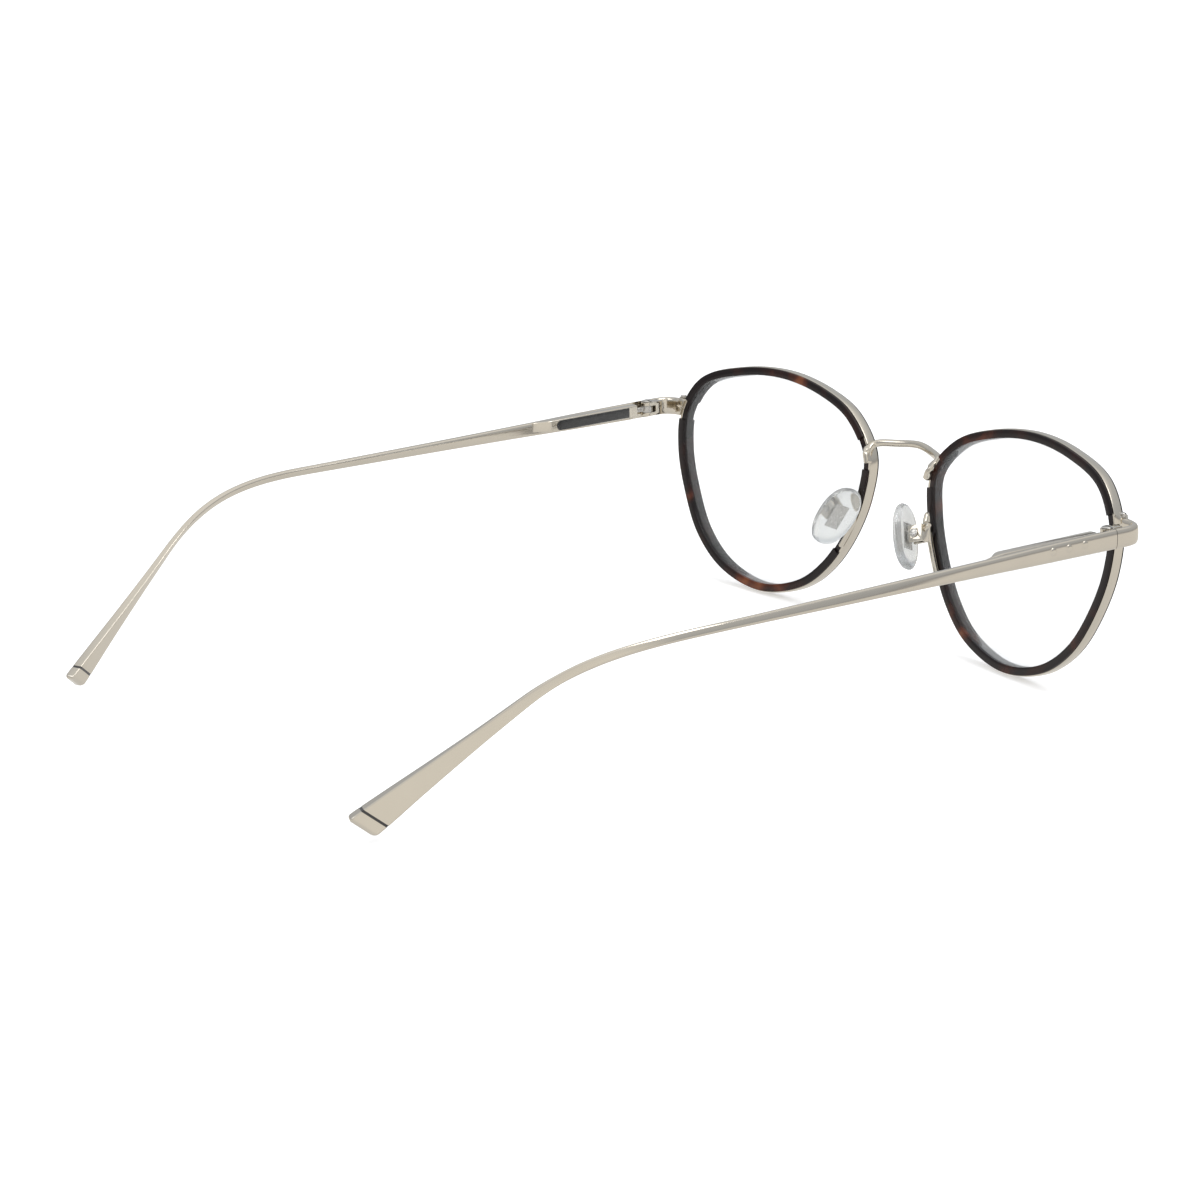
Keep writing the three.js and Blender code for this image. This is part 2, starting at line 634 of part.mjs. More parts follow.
const tipDirection = point(
  -Math.sin(TIP_INWARD),
  Math.cos(TIP_INWARD) * Math.cos(EAR_DROP),
  -Math.cos(TIP_INWARD) * Math.sin(EAR_DROP),
);
const bendPoint = point(barCentre - EAR_INWARD, EAR_BEND, -BAR_LOW - EAR_FALL);
const tipLength = TEMPLE_LENGTH - EAR_BEND;
const templeStart = -JOINT_AHEAD + JOINT_GAP / 2;

function alongTip(distance) {
  return bendPoint.clone().addScaledVector(tipDirection, distance);
}

// The whole temple as one path: straight to the ear, a curve inward and down over it, straight down the tip
function templeCurve() {
  const path = new THREE.CurvePath();
  const before = point(barCentre, EAR_BEND - BEND_AHEAD, -BAR_LOW);
  const lead = point(barCentre, EAR_BEND - BEND_AHEAD * BEND_LEAD, -BAR_LOW);
  path.add(new THREE.LineCurve3(point(barCentre, templeStart, -BAR_LOW), before));
  path.add(new THREE.CubicBezierCurve3(before, lead, bendPoint, alongTip(BEND_BEHIND)));
  path.add(new THREE.LineCurve3(alongTip(BEND_BEHIND), alongTip(tipLength)));
  return path;
}

const templePath = templeCurve();
const templeRows = [...ARM_TAPER, ...TIP_FLARE.map(([share, ...sizes]) => [1 + share, ...sizes])];

// One ring of the temple's surface, at a distance along it from the hinge
function templeRing(distance) {
  const past = (distance - EAR_BEND) / tipLength;
  const share = past > 0 ? 1 + past : distance / EAR_BEND;
  const [height, thickness, twist] = [1, 2, 3].map((column) => readTable(templeRows, share, column));
  const onPath = Math.min(1 - 1e-9, (distance - templeStart) / (TEMPLE_LENGTH - templeStart));
  const along = templePath.getTangentAt(onPath);
  const across = along.clone().cross(point(0, 0, 1)).normalize();
  const up = across.clone().cross(along).normalize();
  across.applyAxisAngle(along, -degrees(twist));
  up.applyAxisAngle(along, -degrees(twist));
  const slant = Math.tan(TIP_SKEW) * THREE.MathUtils.smoothstep(distance, spacerStart - SKEW_LENGTH, spacerStart);
  up.addScaledVector(along, slant);
  const centre = templePath.getPointAt(onPath);
  return oval(thickness, height, 3, 12).map(([x, z]) =>
    centre.clone().addScaledVector(across, x).addScaledVector(up, z));
}

function templePiece(distances) {
  return loft(distances.map(templeRing));
}

function evenSteps(from, to, count) {
  return Array.from({ length: count + 1 }, (_, i) => THREE.MathUtils.lerp(from, to, i / count));
}

const capStart = TEMPLE_LENGTH - CAP_LENGTH;
const spacerStart = capStart - SPACER_LENGTH;
const studSpots = [0, 1, 2].map((i) => FIRST_STUD + i * STUD_PITCH);
const barOuter = BAR_INNER + BAR_THICKNESS;

function stud(distance, clearance = 0) {
  return new THREE.CylinderGeometry(STUD_RADIUS + clearance, STUD_RADIUS + clearance, STUD_DEPTH, 12)
    .rotateZ(Math.PI / 2)
    .translate(barOuter + STUD_PROUD - STUD_DEPTH / 2 - clearance, distance, 0);
}

function templeArm() {
  const stations = [
    ...evenSteps(templeStart, EAR_BEND - BEND_AHEAD, 6),
    ...evenSteps(EAR_BEND - BEND_AHEAD, EAR_BEND + BEND_BEHIND, 10).slice(1),
    ...evenSteps(EAR_BEND + BEND_BEHIND, spacerStart - CLEARANCE, 6).slice(1),
  ];
  const arm = templePiece(stations);
  const knuckleStep = block(
    [-BAR_HEIGHT, -BAR_HEIGHT, -BAR_HEIGHT],
    [knuckleRoomRadius + CLEARANCE, HOUSING_FRONT, BAR_HEIGHT],
  );
  return cut(arm, knuckleStep, ...studSpots.map((spot) => stud(spot, CLEARANCE)));
}

function tipSpacer() {
  return templePiece(evenSteps(spacerStart, capStart - CLEARANCE, 1));
}

function tipCap() {
  return templePiece(evenSteps(capStart, TEMPLE_LENGTH, 2));
}

const housingEnd = HOUSING_FRONT + HOUSING_LENGTH;
const inlayFront = HOUSING_FRONT + INLAY_START;

// The spring's housing on the temple's inner face, with its chamber open at the front
function springHousing() {
  const outer = BAR_INNER - CLEARANCE;
  const half = HOUSING_HEIGHT / 2;
  const section = (inward, high) => [
    point(-inward, 0, -high + 0.3), point(-inward, 0, high - 0.3), point(-inward + 0.3, 0, high),
    point(outer, 0, high), point(outer, 0, -high), point(-inward + 0.3, 0, -high),
  ];
  const at = (y, inward, high) => section(inward, high).map((p) => p.setY(y));
  const body = loft([
    at(HOUSING_FRONT, HOUSING_INWARD, half),
    at(housingEnd - HOUSING_TAPER, HOUSING_INWARD, half),
    at(housingEnd, -outer + 0.55, half * 0.75),
  ]);
  const chamber = turnedToY(rod(CHAMBER_RADIUS, 0, CHAMBER_LENGTH, 12)).translate(0, HOUSING_FRONT + MOUTH, 0);
  const opening = STEM_WIDTH / 2 + CLEARANCE;
  const mouth = block([-opening, HOUSING_FRONT - 1, -opening], [opening, HOUSING_FRONT + MOUTH + 0.5, opening]);
  return cut(body, chamber, mouth, inlayBlock(CLEARANCE));
}

function turnedToY(geometry) {
  return geometry.rotateX(-Math.PI / 2);
}

function inlayBlock(clearance = 0) {
  const half = INLAY_HEIGHT / 2 + clearance;
  const outside = clearance > 0 ? 1 : 0;
  return block(
    [-HOUSING_INWARD - outside, inlayFront - clearance, -half],
    [-HOUSING_INWARD + INLAY_DEPTH + clearance, inlayFront + INLAY_LENGTH + clearance, half],
  );
}

// The shuttle: the middle knuckle, and a stem that slides in the housing
function shuttle() {
  const half = KNUCKLE_HEIGHT / 2;
  const guide = HOUSING_FRONT + MOUTH;
  const stemEnd = guide + CHAMBER_LENGTH - SPRING_TRAVEL - 2;
  const wide = STEM_WIDTH / 2;
  const piece = join(
    rod(KNUCKLE_RADIUS, -half, half),
    block([-wide, 0.8, -wide], [wide, guide, wide]),
    turnedToY(rod(STEM_RADIUS, guide - 0.2, stemEnd, 12)),
    turnedToY(rod(CHAMBER_RADIUS - 2 * CLEARANCE, stemEnd - COLLAR, stemEnd, 12)),
  );
  return cut(piece, rod(SCREW_RADIUS + CLEARANCE, -5, 5, 16));
}

// The coil spring round the stem, between the housing's mouth and the stem's collar
function hingeSpring() {
  const guide = HOUSING_FRONT + MOUTH;
  const start = guide + SPRING_WIRE + CLEARANCE;
  const stemEnd = guide + CHAMBER_LENGTH - SPRING_TRAVEL - 2;
  const end = stemEnd - COLLAR - SPRING_TRAVEL - SPRING_WIRE - 2 * CLEARANCE;
  const radius = STEM_RADIUS + CLEARANCE + SPRING_WIRE;
  const steps = SPRING_TURNS * 8;
  const path = smoothPath(...Array.from({ length: steps + 1 }, (_, i) => {
    const angle = (i / 8) * 2 * Math.PI;
    return point(
      radius * Math.cos(angle),
      THREE.MathUtils.lerp(start, end, i / steps),
      radius * Math.sin(angle),
    );
  }));
  return bar(path, steps, 4, 2, () => [SPRING_WIRE * 2, SPRING_WIRE * 2]);
}

// ---- Assembly -----------------------------------------------------------------------------------

function named(name, geometry, finish) {
  const mesh = new THREE.Mesh(geometry, new THREE.MeshStandardMaterial(FINISH[finish]));
  mesh.name = name;
  return mesh;
}

function posedGroup(matrix, ...children) {
  const group = new THREE.Group();
  group.applyMatrix4(matrix);
  group.add(...children);
  return group;
}

function frontHalf(side) {
  const pad = posedGroup(
    padPose,
    named(`pad_box_${side}`, padBox(), "nickel"),
    named(`pad_screw_${side}`, padScrew(), "steel"),
    named(`pad_insert_${side}`, padInsert(), "steel"),
    named(`nose_pad_${side}`, nosePad(), "silicone"),
  );
  return posedGroup(
    frontPose,
    named(`windsor_ring_${side}`, windsorRing(), "tortoise"),
    named(`eyewire_${side}`, eyewire(), "nickel"),
    named(`demo_lens_${side}`, demoLens(), "lens"),
    named(`closing_block_upper_${side}`, closingBlock(true), "nickel"),
    named(`closing_block_lower_${side}`, closingBlock(false), "nickel"),
    named(`rim_screw_${side}`, rimScrew(), "steel"),
    named(`pad_arm_${side}`, padArm(), "nickel"),
    pad,
  );
}

function hingeAndTemple(side) {
  return posedGroup(
    hingePose,
    named(`end_piece_${side}`, endPiece(), "nickel"),
    named(`hinge_bracket_${side}`, hingeBracket(), "nickel"),
    named(`hinge_screw_${side}`, hingeScrew(), "steel"),
    named(`shuttle_${side}`, shuttle(), "steel"),
    named(`temple_arm_${side}`, templeArm(), "nickel"),
    named(`spring_housing_${side}`, springHousing(), "nickel"),
    named(`inlay_plate_${side}`, inlayBlock(), "enamel"),
    named(`hinge_spring_${side}`, hingeSpring(), "steel"),
    ...studSpots.map((spot, i) => named(`stud_${i + 1}_${side}`, stud(spot), "nickel")),
    named(`tip_spacer_${side}`, tipSpacer(), "enamel"),
    named(`tip_cap_${side}`, tipCap(), "nickel"),
  );
}

const glasses = new THREE.Group();
for (const [side, facing] of [["left", 1], ["right", -1]]) {
  const half = new THREE.Group();
  half.scale.x = facing;
  half.add(frontHalf(side), hingeAndTemple(side));
  glasses.add(half);
}
glasses.add(posedGroup(frontPose, named("bridge", bridge(), "nickel")));

// The origin is under the middle of the object, on the table
const bounds = new THREE.Box3().setFromObject(glasses, true);
const middle = bounds.getCenter(new THREE.Vector3());
glasses.position.set(0, -middle.y, -bounds.min.z);

export default glasses;
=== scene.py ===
import json
import math

import bmesh
import bpy
import numpy as np
from mathutils import Matrix, Vector


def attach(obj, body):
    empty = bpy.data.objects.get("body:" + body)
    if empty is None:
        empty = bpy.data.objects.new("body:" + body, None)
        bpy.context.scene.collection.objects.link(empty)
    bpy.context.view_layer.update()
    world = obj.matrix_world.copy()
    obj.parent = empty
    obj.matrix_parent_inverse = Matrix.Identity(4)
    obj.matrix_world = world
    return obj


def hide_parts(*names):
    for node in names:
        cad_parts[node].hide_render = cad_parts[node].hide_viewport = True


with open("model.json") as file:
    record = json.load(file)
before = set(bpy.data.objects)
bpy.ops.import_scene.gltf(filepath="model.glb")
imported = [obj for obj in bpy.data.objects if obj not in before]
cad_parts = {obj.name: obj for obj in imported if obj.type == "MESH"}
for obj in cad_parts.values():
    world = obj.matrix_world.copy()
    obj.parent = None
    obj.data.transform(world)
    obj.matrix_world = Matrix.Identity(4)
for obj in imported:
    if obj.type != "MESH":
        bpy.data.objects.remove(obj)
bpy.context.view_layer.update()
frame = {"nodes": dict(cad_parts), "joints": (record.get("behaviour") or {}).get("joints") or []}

# ---- Acetate rings --------------------------------------------------------------------------------
# Each lens is held in a Windsor ring: a thin ring of dark tortoise acetate, cut from sheet and
# polished. A groove round its outside takes the metal eyewire, and its lips are cut away where
# the bridge, the pad arm and the end piece join the eyewire. Sizes are in millimetres.

LENS_WIDTH = 51
LENS_HEIGHT = 41.2
LENS_GAP = 17.5
LENS_TILT = math.radians(7)
LENS_WRAP = math.radians(4.9)
LENS_CURVE = 130
LENS_CENTRE = (LENS_GAP + LENS_WIDTH) / 2
# Shares of half the width and half the height, from the top, by way of the temple side
LENS_EDGE = [
    (0, 1), (0.43, 0.947), (0.82, 0.775), (0.985, 0.46),
    (0.985, 0.1), (0.88, -0.28), (0.7, -0.64), (0.42, -0.895),
    (0, -1), (-0.42, -0.862), (-0.665, -0.62), (-0.85, -0.28),
    (-0.965, 0.1), (-0.98, 0.46), (-0.765, 0.765), (-0.43, 0.925),
]
RIM_STATIONS = 288
RING_REACH = 0.75
RING_HALF_DEPTH = 1.4
RING_PLAY = 0.03  # between the acetate and what sits in its grooves
TRIM_DEPTH = 0.02  # the cut-back lips end this far inside the eyewire's edges
BAND_HALF_DEPTH = 0.95
BAND_FLOOR = 0.4
BAND_OUTER = 0.95
LENS_HALF_THICKNESS = 0.6
EDGE_ROUND = 0.16
HINGE_HEIGHT = 9.65
FOOT_TOP = 11.1
FOOT_BOTTOM = 8.1
ARM_FOOT_TOP = -2.6
ARM_FOOT_BOTTOM = -8.2
FOOT_NOTCH_MARGIN = 1.3
ARM_NOTCH_MARGIN = 1.5
END_NOTCH_MARGIN = 1.9
NOTCH_STEP = 0.00004  # share of the rim within which a cut-out's edge steps down
HINGE_OUT = 3.9
HINGE_BACK = 6.75
CREASE_ANGLE = math.radians(35)
SIDES = {"left": 1, "right": -1}


class Course:
    """A smooth line through points, read by the share of its length."""

    STEPS = 40  # between one point and the next
    REACH = 0.002  # share of the length on each side that gives the direction

    def __init__(self, points, closed=False):
        points = [np.array(point, float) for point in points]
        if closed:
            knots = [points[-1], *points, points[0], points[1]]
        else:
            knots = [2 * points[0] - points[1], *points, 2 * points[-1] - points[-2]]
        line = [points[0]]
        for before, start, end, after in zip(knots, knots[1:], knots[2:], knots[3:]):
            gaps = [
                np.linalg.norm(later - sooner) ** 0.5
                for sooner, later in ((before, start), (start, end), (end, after))
            ]
            step = (end - start) / gaps[1]
            leave = (start - before) / gaps[0] - (end - before) / (gaps[0] + gaps[1]) + step
            arrive = step - (after - start) / (gaps[1] + gaps[2]) + (after - end) / gaps[2]
            leave = leave * gaps[1]
            arrive = arrive * gaps[1]
            for t in np.linspace(0, 1, self.STEPS + 1)[1:]:
                line.append(
                    start + t * leave
                    + t**2 * (3 * (end - start) - 2 * leave - arrive)
                    + t**3 * (2 * (start - end) + leave + arrive)
                )
        self.closed = closed
        self.line = np.array(line)
        spans = np.linalg.norm(np.diff(self.line, axis=0), axis=1)
        self.marks = np.concatenate([[0], np.cumsum(spans)])
        self.length = self.marks[-1]

    def at(self, share):
        share = share % 1 if self.closed else min(max(share, 0), 1)
        distance = share * self.length
        return np.array([np.interp(distance, self.marks, axis) for axis in self.line.T])

    def along(self, share):
        low, high = share - self.REACH, share + self.REACH
        if not self.closed:
            low, high = max(low, 0), min(high, 1)
        step = self.at(high) - self.at(low)
        return step / np.linalg.norm(step)


lens_edge = Course(
    [(across * LENS_WIDTH / 2, up * LENS_HEIGHT / 2) for across, up in LENS_EDGE],
    closed=True,
)


def on_rim(share, outward, depth):
    """A point of the rim in the front's own frame, or a row of them."""
    edge_x, edge_z = lens_edge.at(share)
    along_x, along_z = lens_edge.along(share)
    across = edge_x - outward * along_z
    up = edge_z + outward * along_x
    dome = (edge_x**2 + edge_z**2) / (2 * LENS_CURVE)
    return np.stack([
        LENS_CENTRE + across * math.cos(LENS_WRAP),
        across * math.sin(LENS_WRAP) + dome + depth,
        up,
    ], axis=-1)


def share_at_height(height, nose=False):
    """Where round the rim a height is reached, on the temple side or the nose side."""
    top, bottom = (1, 0.5) if nose else (0, 0.5)
    for _ in range(40):
        middle = (top + bottom) / 2
        if lens_edge.at(middle)[1] > height:
            top = middle
        else:
            bottom = middle
    return top


def rounded(corners, radius, steps=3):
    """A closed outline with each corner turned on a small radius."""
    corners = [np.array(corner, float) for corner in corners]
    outline = []
    for before, corner, after in zip(corners[-1:] + corners, corners, corners[1:] + corners[:1]):
        back, onward = before - corner, after - corner
        back_length, onward_length = np.linalg.norm(back), np.linalg.norm(onward)
        cut = min(radius, 0.45 * back_length, 0.45 * onward_length)
        start = corner + back * cut / back_length
        end = corner + onward * cut / onward_length
        for t in np.linspace(0, 1, steps + 1):
            outline.append((1 - t) ** 2 * start + 2 * t * (1 - t) * corner + t**2 * end)
    return np.array(outline)


def surface(name, rings, pose, loop=False):
    """An object whose skin runs through rings of points, closed at both ends unless it loops."""
    turn = np.array(pose.to_3x3())
    shift = np.array(pose.to_translation())
    body = bmesh.new()
    rows = [
        [body.verts.new((turn @ point + shift) / 1000) for point in ring]
        for ring in rings
    ]
    pairs = list(zip(rows, rows[1:]))
    if loop:
        pairs.append((rows[-1], rows[0]))
    for row, following in pairs:
        for i in range(len(row)):
            k = (i + 1) % len(row)
            body.faces.new((row[i], row[k], following[k], following[i]))
    if not loop:
        body.faces.new(reversed(rows[0]))
        body.faces.new(rows[-1])
    bmesh.ops.remove_doubles(body, verts=body.verts, dist=2e-7)
    bmesh.ops.dissolve_degenerate(body, edges=body.edges, dist=2e-7)
    bmesh.ops.recalc_face_normals(body, faces=body.faces)
    mesh = bpy.data.meshes.new(name)
    body.to_mesh(mesh)
    body.free()
    made = bpy.data.objects.new(name, mesh)
    bpy.context.scene.collection.objects.link(made)
    return made


def finished(made, body, finish, node):
    """Gives a piece its shading, finish and body, and has it stand for its CAD node."""
    made.data.shade_smooth()
    made.data.set_sharp_from_angle(angle=CREASE_ANGLE)
    made.data.materials.clear()
    made.data.materials.append(finish)
    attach(made, body)
    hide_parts(node)


class Value:
    """A shader socket, on which sums are written as Python expressions."""

    def __init__(self, finish, socket):
        self.finish = finish
        self.socket = socket

    def worked(self, operation, first, second):
        return self.finish.node("ShaderNodeMath", {"operation": operation}, {0: first, 1: second})

    def __add__(self, other):
        return self.worked("ADD", self, other)

    def __radd__(self, other):
        return self.worked("ADD", other, self)

    def __sub__(self, other):
        return self.worked("SUBTRACT", self, other)

    def __rmul__(self, other):
        return self.worked("MULTIPLY", other, self)


class Finish:
    """The nodes of one finish."""

    def __init__(self, owner):
        owner.use_nodes = True
        self.tree = owner.node_tree
        self.tree.nodes.clear()

    def node(self, kind, settings=None, inputs=None, output=0):
        """Any node, with its settings and inputs. It gives the named output, if there is one."""
        made = self.tree.nodes.new(kind)
        for key, value in (settings or {}).items():
            if key == "stops":
                while len(made.color_ramp.elements) < len(value):
                    made.color_ramp.elements.new(0.5)
                for element, (place, colour) in zip(made.color_ramp.elements, value):
                    element.position = place
                    element.color = (*colour, 1)
            else:
                setattr(made, key, value)
        for key, value in (inputs or {}).items():
            if isinstance(value, Value):
                self.tree.links.new(value.socket, made.inputs[key])
            else:
                made.inputs[key].default_value = value
        return Value(self, made.outputs[output]) if made.outputs else None

    def noise(self, scale, detail=3, stretch=(1, 1, 1), **more):
        place = self.node("ShaderNodeTexCoord", output="Object")
        where = self.node("ShaderNodeMapping", {}, {"Vector": place, "Scale": stretch})
        inputs = {"Vector": where, "Scale": scale, "Detail": detail}
        return self.node("ShaderNodeTexNoise", {}, {**inputs, **more}, "Fac")

    def mix(self, share, first, second):
        return self.node(
            "ShaderNodeMix", {"data_type": "RGBA"}, {0: share, 6: first, 7: second}, 2
        )

    def ramp(self, share, stops):
        return self.node("ShaderNodeValToRGB", {"stops": stops}, {"Fac": share}, "Color")

    def bump(self, height, strength, distance):
        return self.node(
            "ShaderNodeBump", {}, {"Height": height, "Strength": strength, "Distance": distance}
        )

    def coated(self, **inputs):
        """One Principled surface, with each input named as on the shader, _ for a space."""
        named = {key.replace("_", " "): value for key, value in inputs.items()}
        shader = self.node("ShaderNodeBsdfPrincipled", {}, named)
        self.node("ShaderNodeOutputMaterial", {}, {"Surface": shader})


def new_finish(name):
    material = bpy.data.materials.new(name)
    return material, Finish(material)


# The sheet's colour drifts from near black to red brown in soft patches a few millimetres long
tortoise, nodes = new_finish("tortoise_acetate")
patches = nodes.noise(95, 2, Distortion=0.6)
flecks = nodes.noise(500, 2)
nodes.coated(
    Base_Color=nodes.ramp(patches + 0.12 * (flecks - 0.5), [
        (0.50, (0.008, 0.005, 0.005)),
        (0.60, (0.020, 0.007, 0.005)),
        (0.68, (0.075, 0.020, 0.010)),
        (0.80, (0.220, 0.070, 0.025)),
    ]),
    Roughness=0.10 + 0.05 * nodes.noise(300, 2),
    IOR=1.5,
    Specular_IOR_Level=0.28,
)

# The joint of each hinge gives the place of the whole front
hinge_seat = Matrix.Rotation(LENS_TILT, 3, "X") @ Vector(
    on_rim(share_at_height(HINGE_HEIGHT), BAND_OUTER, 0)
)
fold = next(joint for joint in frame["joints"] if joint["name"] == "temple_fold_left")
hinge_place = Vector(fold["pos_m"]) * 1000
front_place = hinge_place - hinge_seat - Vector((HINGE_OUT, HINGE_BACK, 0))
front_pose = Matrix.Translation(front_place) @ Matrix.Rotation(LENS_TILT, 4, "X")
facing = {side: Matrix.Scale(sign, 4, (1, 0, 0)) for side, sign in SIDES.items()}

# Cut-outs: where each starts and ends round the rim, and whether the front lip is cut as well
cut_outs = [
    (
        share_at_height(FOOT_BOTTOM - FOOT_NOTCH_MARGIN, True),
        share_at_height(FOOT_TOP + FOOT_NOTCH_MARGIN, True),
        False,
    ),
    (
        share_at_height(ARM_FOOT_BOTTOM - ARM_NOTCH_MARGIN, True),
        share_at_height(ARM_FOOT_TOP + ARM_NOTCH_MARGIN, True),
        False,
    ),
    (
        share_at_height(HINGE_HEIGHT + END_NOTCH_MARGIN),
        share_at_height(HINGE_HEIGHT - END_NOTCH_MARGIN),
        True,
    ),
]


def ring_section():
    """The ring cut across: a V inside for the lens and a square groove outside for the eyewire."""
    wall = BAND_HALF_DEPTH + RING_PLAY
    floor = BAND_FLOOR - RING_PLAY
    groove = LENS_HALF_THICKNESS + RING_PLAY
    return rounded([
        (-RING_REACH, -groove), (-RING_REACH, -RING_HALF_DEPTH), (RING_REACH, -RING_HALF_DEPTH),
        (RING_REACH, -wall), (floor, -wall), (floor, wall), (RING_REACH, wall),
        (RING_REACH, RING_HALF_DEPTH), (-RING_REACH, RING_HALF_DEPTH), (-RING_REACH, groove),
        (0, 0),
    ], EDGE_ROUND)


def trimmed(section, front_too):
    """The section where the lips are cut back to the edges of the eyewire's groove."""
    seat = BAND_HALF_DEPTH - TRIM_DEPTH
    floor = BAND_FLOOR - RING_PLAY
    cut = section.copy()
    for point in cut:
        if point[1] > seat or (front_too and point[1] < -seat):
            point[1] = math.copysign(seat, point[1])
            point[0] = min(point[0], floor)
    return cut


shares = set(np.linspace(0, 1, RIM_STATIONS, endpoint=False))
for start, end, _ in cut_outs:
    for edge in (start, end):
        shares.update([edge - NOTCH_STEP, edge + NOTCH_STEP])
full_section = ring_section()
ring_rings = []
for share in sorted(shares):
    inside = [both for start, end, both in cut_outs if start < share < end]
    section = trimmed(full_section, inside[0]) if inside else full_section
    ring_rings.append(on_rim(share, section[:, 0], section[:, 1]))
for side in SIDES:
    ring = surface(f"acetate_ring_{side}", ring_rings, facing[side] @ front_pose, loop=True)
    finished(ring, "front", tortoise, f"windsor_ring_{side}")

# ---- Eyewires -------------------------------------------------------------------------------------
# A flat band of nickel alloy, rolled to the lens shape and polished. It lies in the ring's groove
# and is slit on the temple side, where the closing block draws its two ends together.

EYEWIRE_SLIT = 0.35
BAND_CROWN = 0.06  # how far the band's outer face falls away to its edges
BAND_FLAT = 0.3
BAND_EDGE = 0.1

nickel, nodes = new_finish("polished_nickel")
drift = nodes.noise(120, 2)
scuffs = nodes.noise(1400, 4, stretch=(1, 0.15, 1))
nodes.coated(
    Base_Color=nodes.mix(drift, (0.66, 0.61, 0.525, 1), (0.60, 0.555, 0.475, 1)),
    Metallic=1.0,
    Roughness=0.11 + 0.07 * scuffs,
    Normal=nodes.bump(scuffs, 0.05, 0.00002),
)

band_section = rounded([
    (BAND_FLOOR, -BAND_HALF_DEPTH), (BAND_OUTER - BAND_CROWN, -BAND_HALF_DEPTH),
    (BAND_OUTER, -BAND_FLAT), (BAND_OUTER, BAND_FLAT),
    (BAND_OUTER - BAND_CROWN, BAND_HALF_DEPTH), (BAND_FLOOR, BAND_HALF_DEPTH),
], BAND_EDGE)
slit = share_at_height(HINGE_HEIGHT)
half_slit = EYEWIRE_SLIT / 2 / lens_edge.length
band_rings = [
    on_rim(share, band_section[:, 0], band_section[:, 1])
    for share in np.linspace(slit + half_slit, slit + 1 - half_slit, RIM_STATIONS)
]
for side in SIDES:
    band = surface(f"eyewire_band_{side}", band_rings, facing[side] @ front_pose)
    finished(band, "front", nickel, f"eyewire_{side}")

# ---- Demo lenses ----------------------------------------------------------------------------------
# Thin domed discs of clear plastic with no power, edged with a bevel that snaps into the rings.

lens_clear, nodes = new_finish("demo_lens")
smears = nodes.noise(60, 2)
glance = nodes.node("ShaderNodeLayerWeight", {}, {"Blend": 0.35}, "Fresnel")
nodes.coated(
    Base_Color=nodes.mix(smears, (0.93, 0.96, 0.97, 1), (0.97, 0.985, 0.99, 1)),
    Roughness=0.02 + 0.02 * smears,
    IOR=1.5,
    Alpha=0.04 + 0.35 * glance,
)

LENS_STATIONS = 144
lens_rings = []
faces = [(share, LENS_HALF_THICKNESS) for share in (0.03, 0.25, 0.5, 0.75, 0.92, 1)]
for share, depth in faces + [(1, 0)] + [(share, -depth) for share, depth in reversed(faces)]:
    outward = 0 if depth == 0 else -RING_REACH
    ring = []
    for station in range(LENS_STATIONS):
        edge = on_rim(station / LENS_STATIONS, outward, 0)
        across = edge[0] - LENS_CENTRE
        dome = (edge[1] - across * math.tan(LENS_WRAP)) * share**2
        tilt = across * share * math.tan(LENS_WRAP)
        ring.append(np.array([LENS_CENTRE + across * share, tilt + dome + depth, edge[2] * share]))
    lens_rings.append(ring)
for side in SIDES:
    lens = surface(f"clear_lens_{side}", lens_rings, facing[side] @ front_pose)
    finished(lens, "front", lens_clear, f"demo_lens_{side}")

# ---- Bridge ---------------------------------------------------------------------------------------
# A slim arch of polished nickel wire. Each end turns down behind the rim into a flattened foot
# that is brazed to the back of the eyewire.

BRIDGE_HEIGHT = 13.1
BRIDGE_FORWARD = 2.5
BRIDGE_DROP = 2
BRIDGE_THICKNESS = 1.35
FOOT_LENGTH = 3
FOOT_WIDTH = 1.5
FOOT_THICKNESS = 1.1
FOOT_SEAT = BAND_OUTER - 0.1  # the foot's middle, out from the lens edge
FOOT_BLEND = 1.2
END_TUCK = 0.25


def oval(width, height, square, sides):
    """A closed outline between an ellipse, at 2, and a rounded rectangle, at 4 and up."""
    angles = 2 * math.pi * (np.arange(sides) + 0.5) / sides
    wide, tall = np.cos(angles), np.sin(angles)
    return np.stack([
        width / 2 * np.sign(wide) * np.abs(wide) ** (2 / square),
        height / 2 * np.sign(tall) * np.abs(tall) ** (2 / square),
    ], axis=-1)


def unit(vector):
    return vector / np.linalg.norm(vector)


def upright(along):
    """The two directions across a bar: sideways, and as near upright as it goes."""
    across = unit(np.cross(along, (0, 0, 1)))
    return across, np.cross(across, along)


def smooth(value):
    value = min(max(value, 0), 1)
    return value * value * (3 - 2 * value)


foot_top = on_rim(share_at_height(FOOT_TOP - 0.9, True), FOOT_SEAT, BAND_HALF_DEPTH + 0.35)
foot_end = on_rim(share_at_height(FOOT_BOTTOM, True), FOOT_SEAT, BAND_HALF_DEPTH + 0.55)
shoulder = on_rim(share_at_height(FOOT_TOP + 0.1, True), FOOT_SEAT, -0.3)
shoulder = shoulder + np.array([-0.75, 0, 0.1])
quarter = np.array([
    shoulder[0] / 2,
    -BRIDGE_FORWARD + (shoulder[1] + BRIDGE_FORWARD) / 4,
    BRIDGE_HEIGHT - BRIDGE_DROP / 4,
])
right_half = [quarter, shoulder, foot_top, foot_end]
left_half = [point * np.array([-1, 1, 1]) for point in reversed(right_half)]
bridge_line = Course([*left_half, np.array([0, -BRIDGE_FORWARD, BRIDGE_HEIGHT]), *right_half])
bridge_rings = []
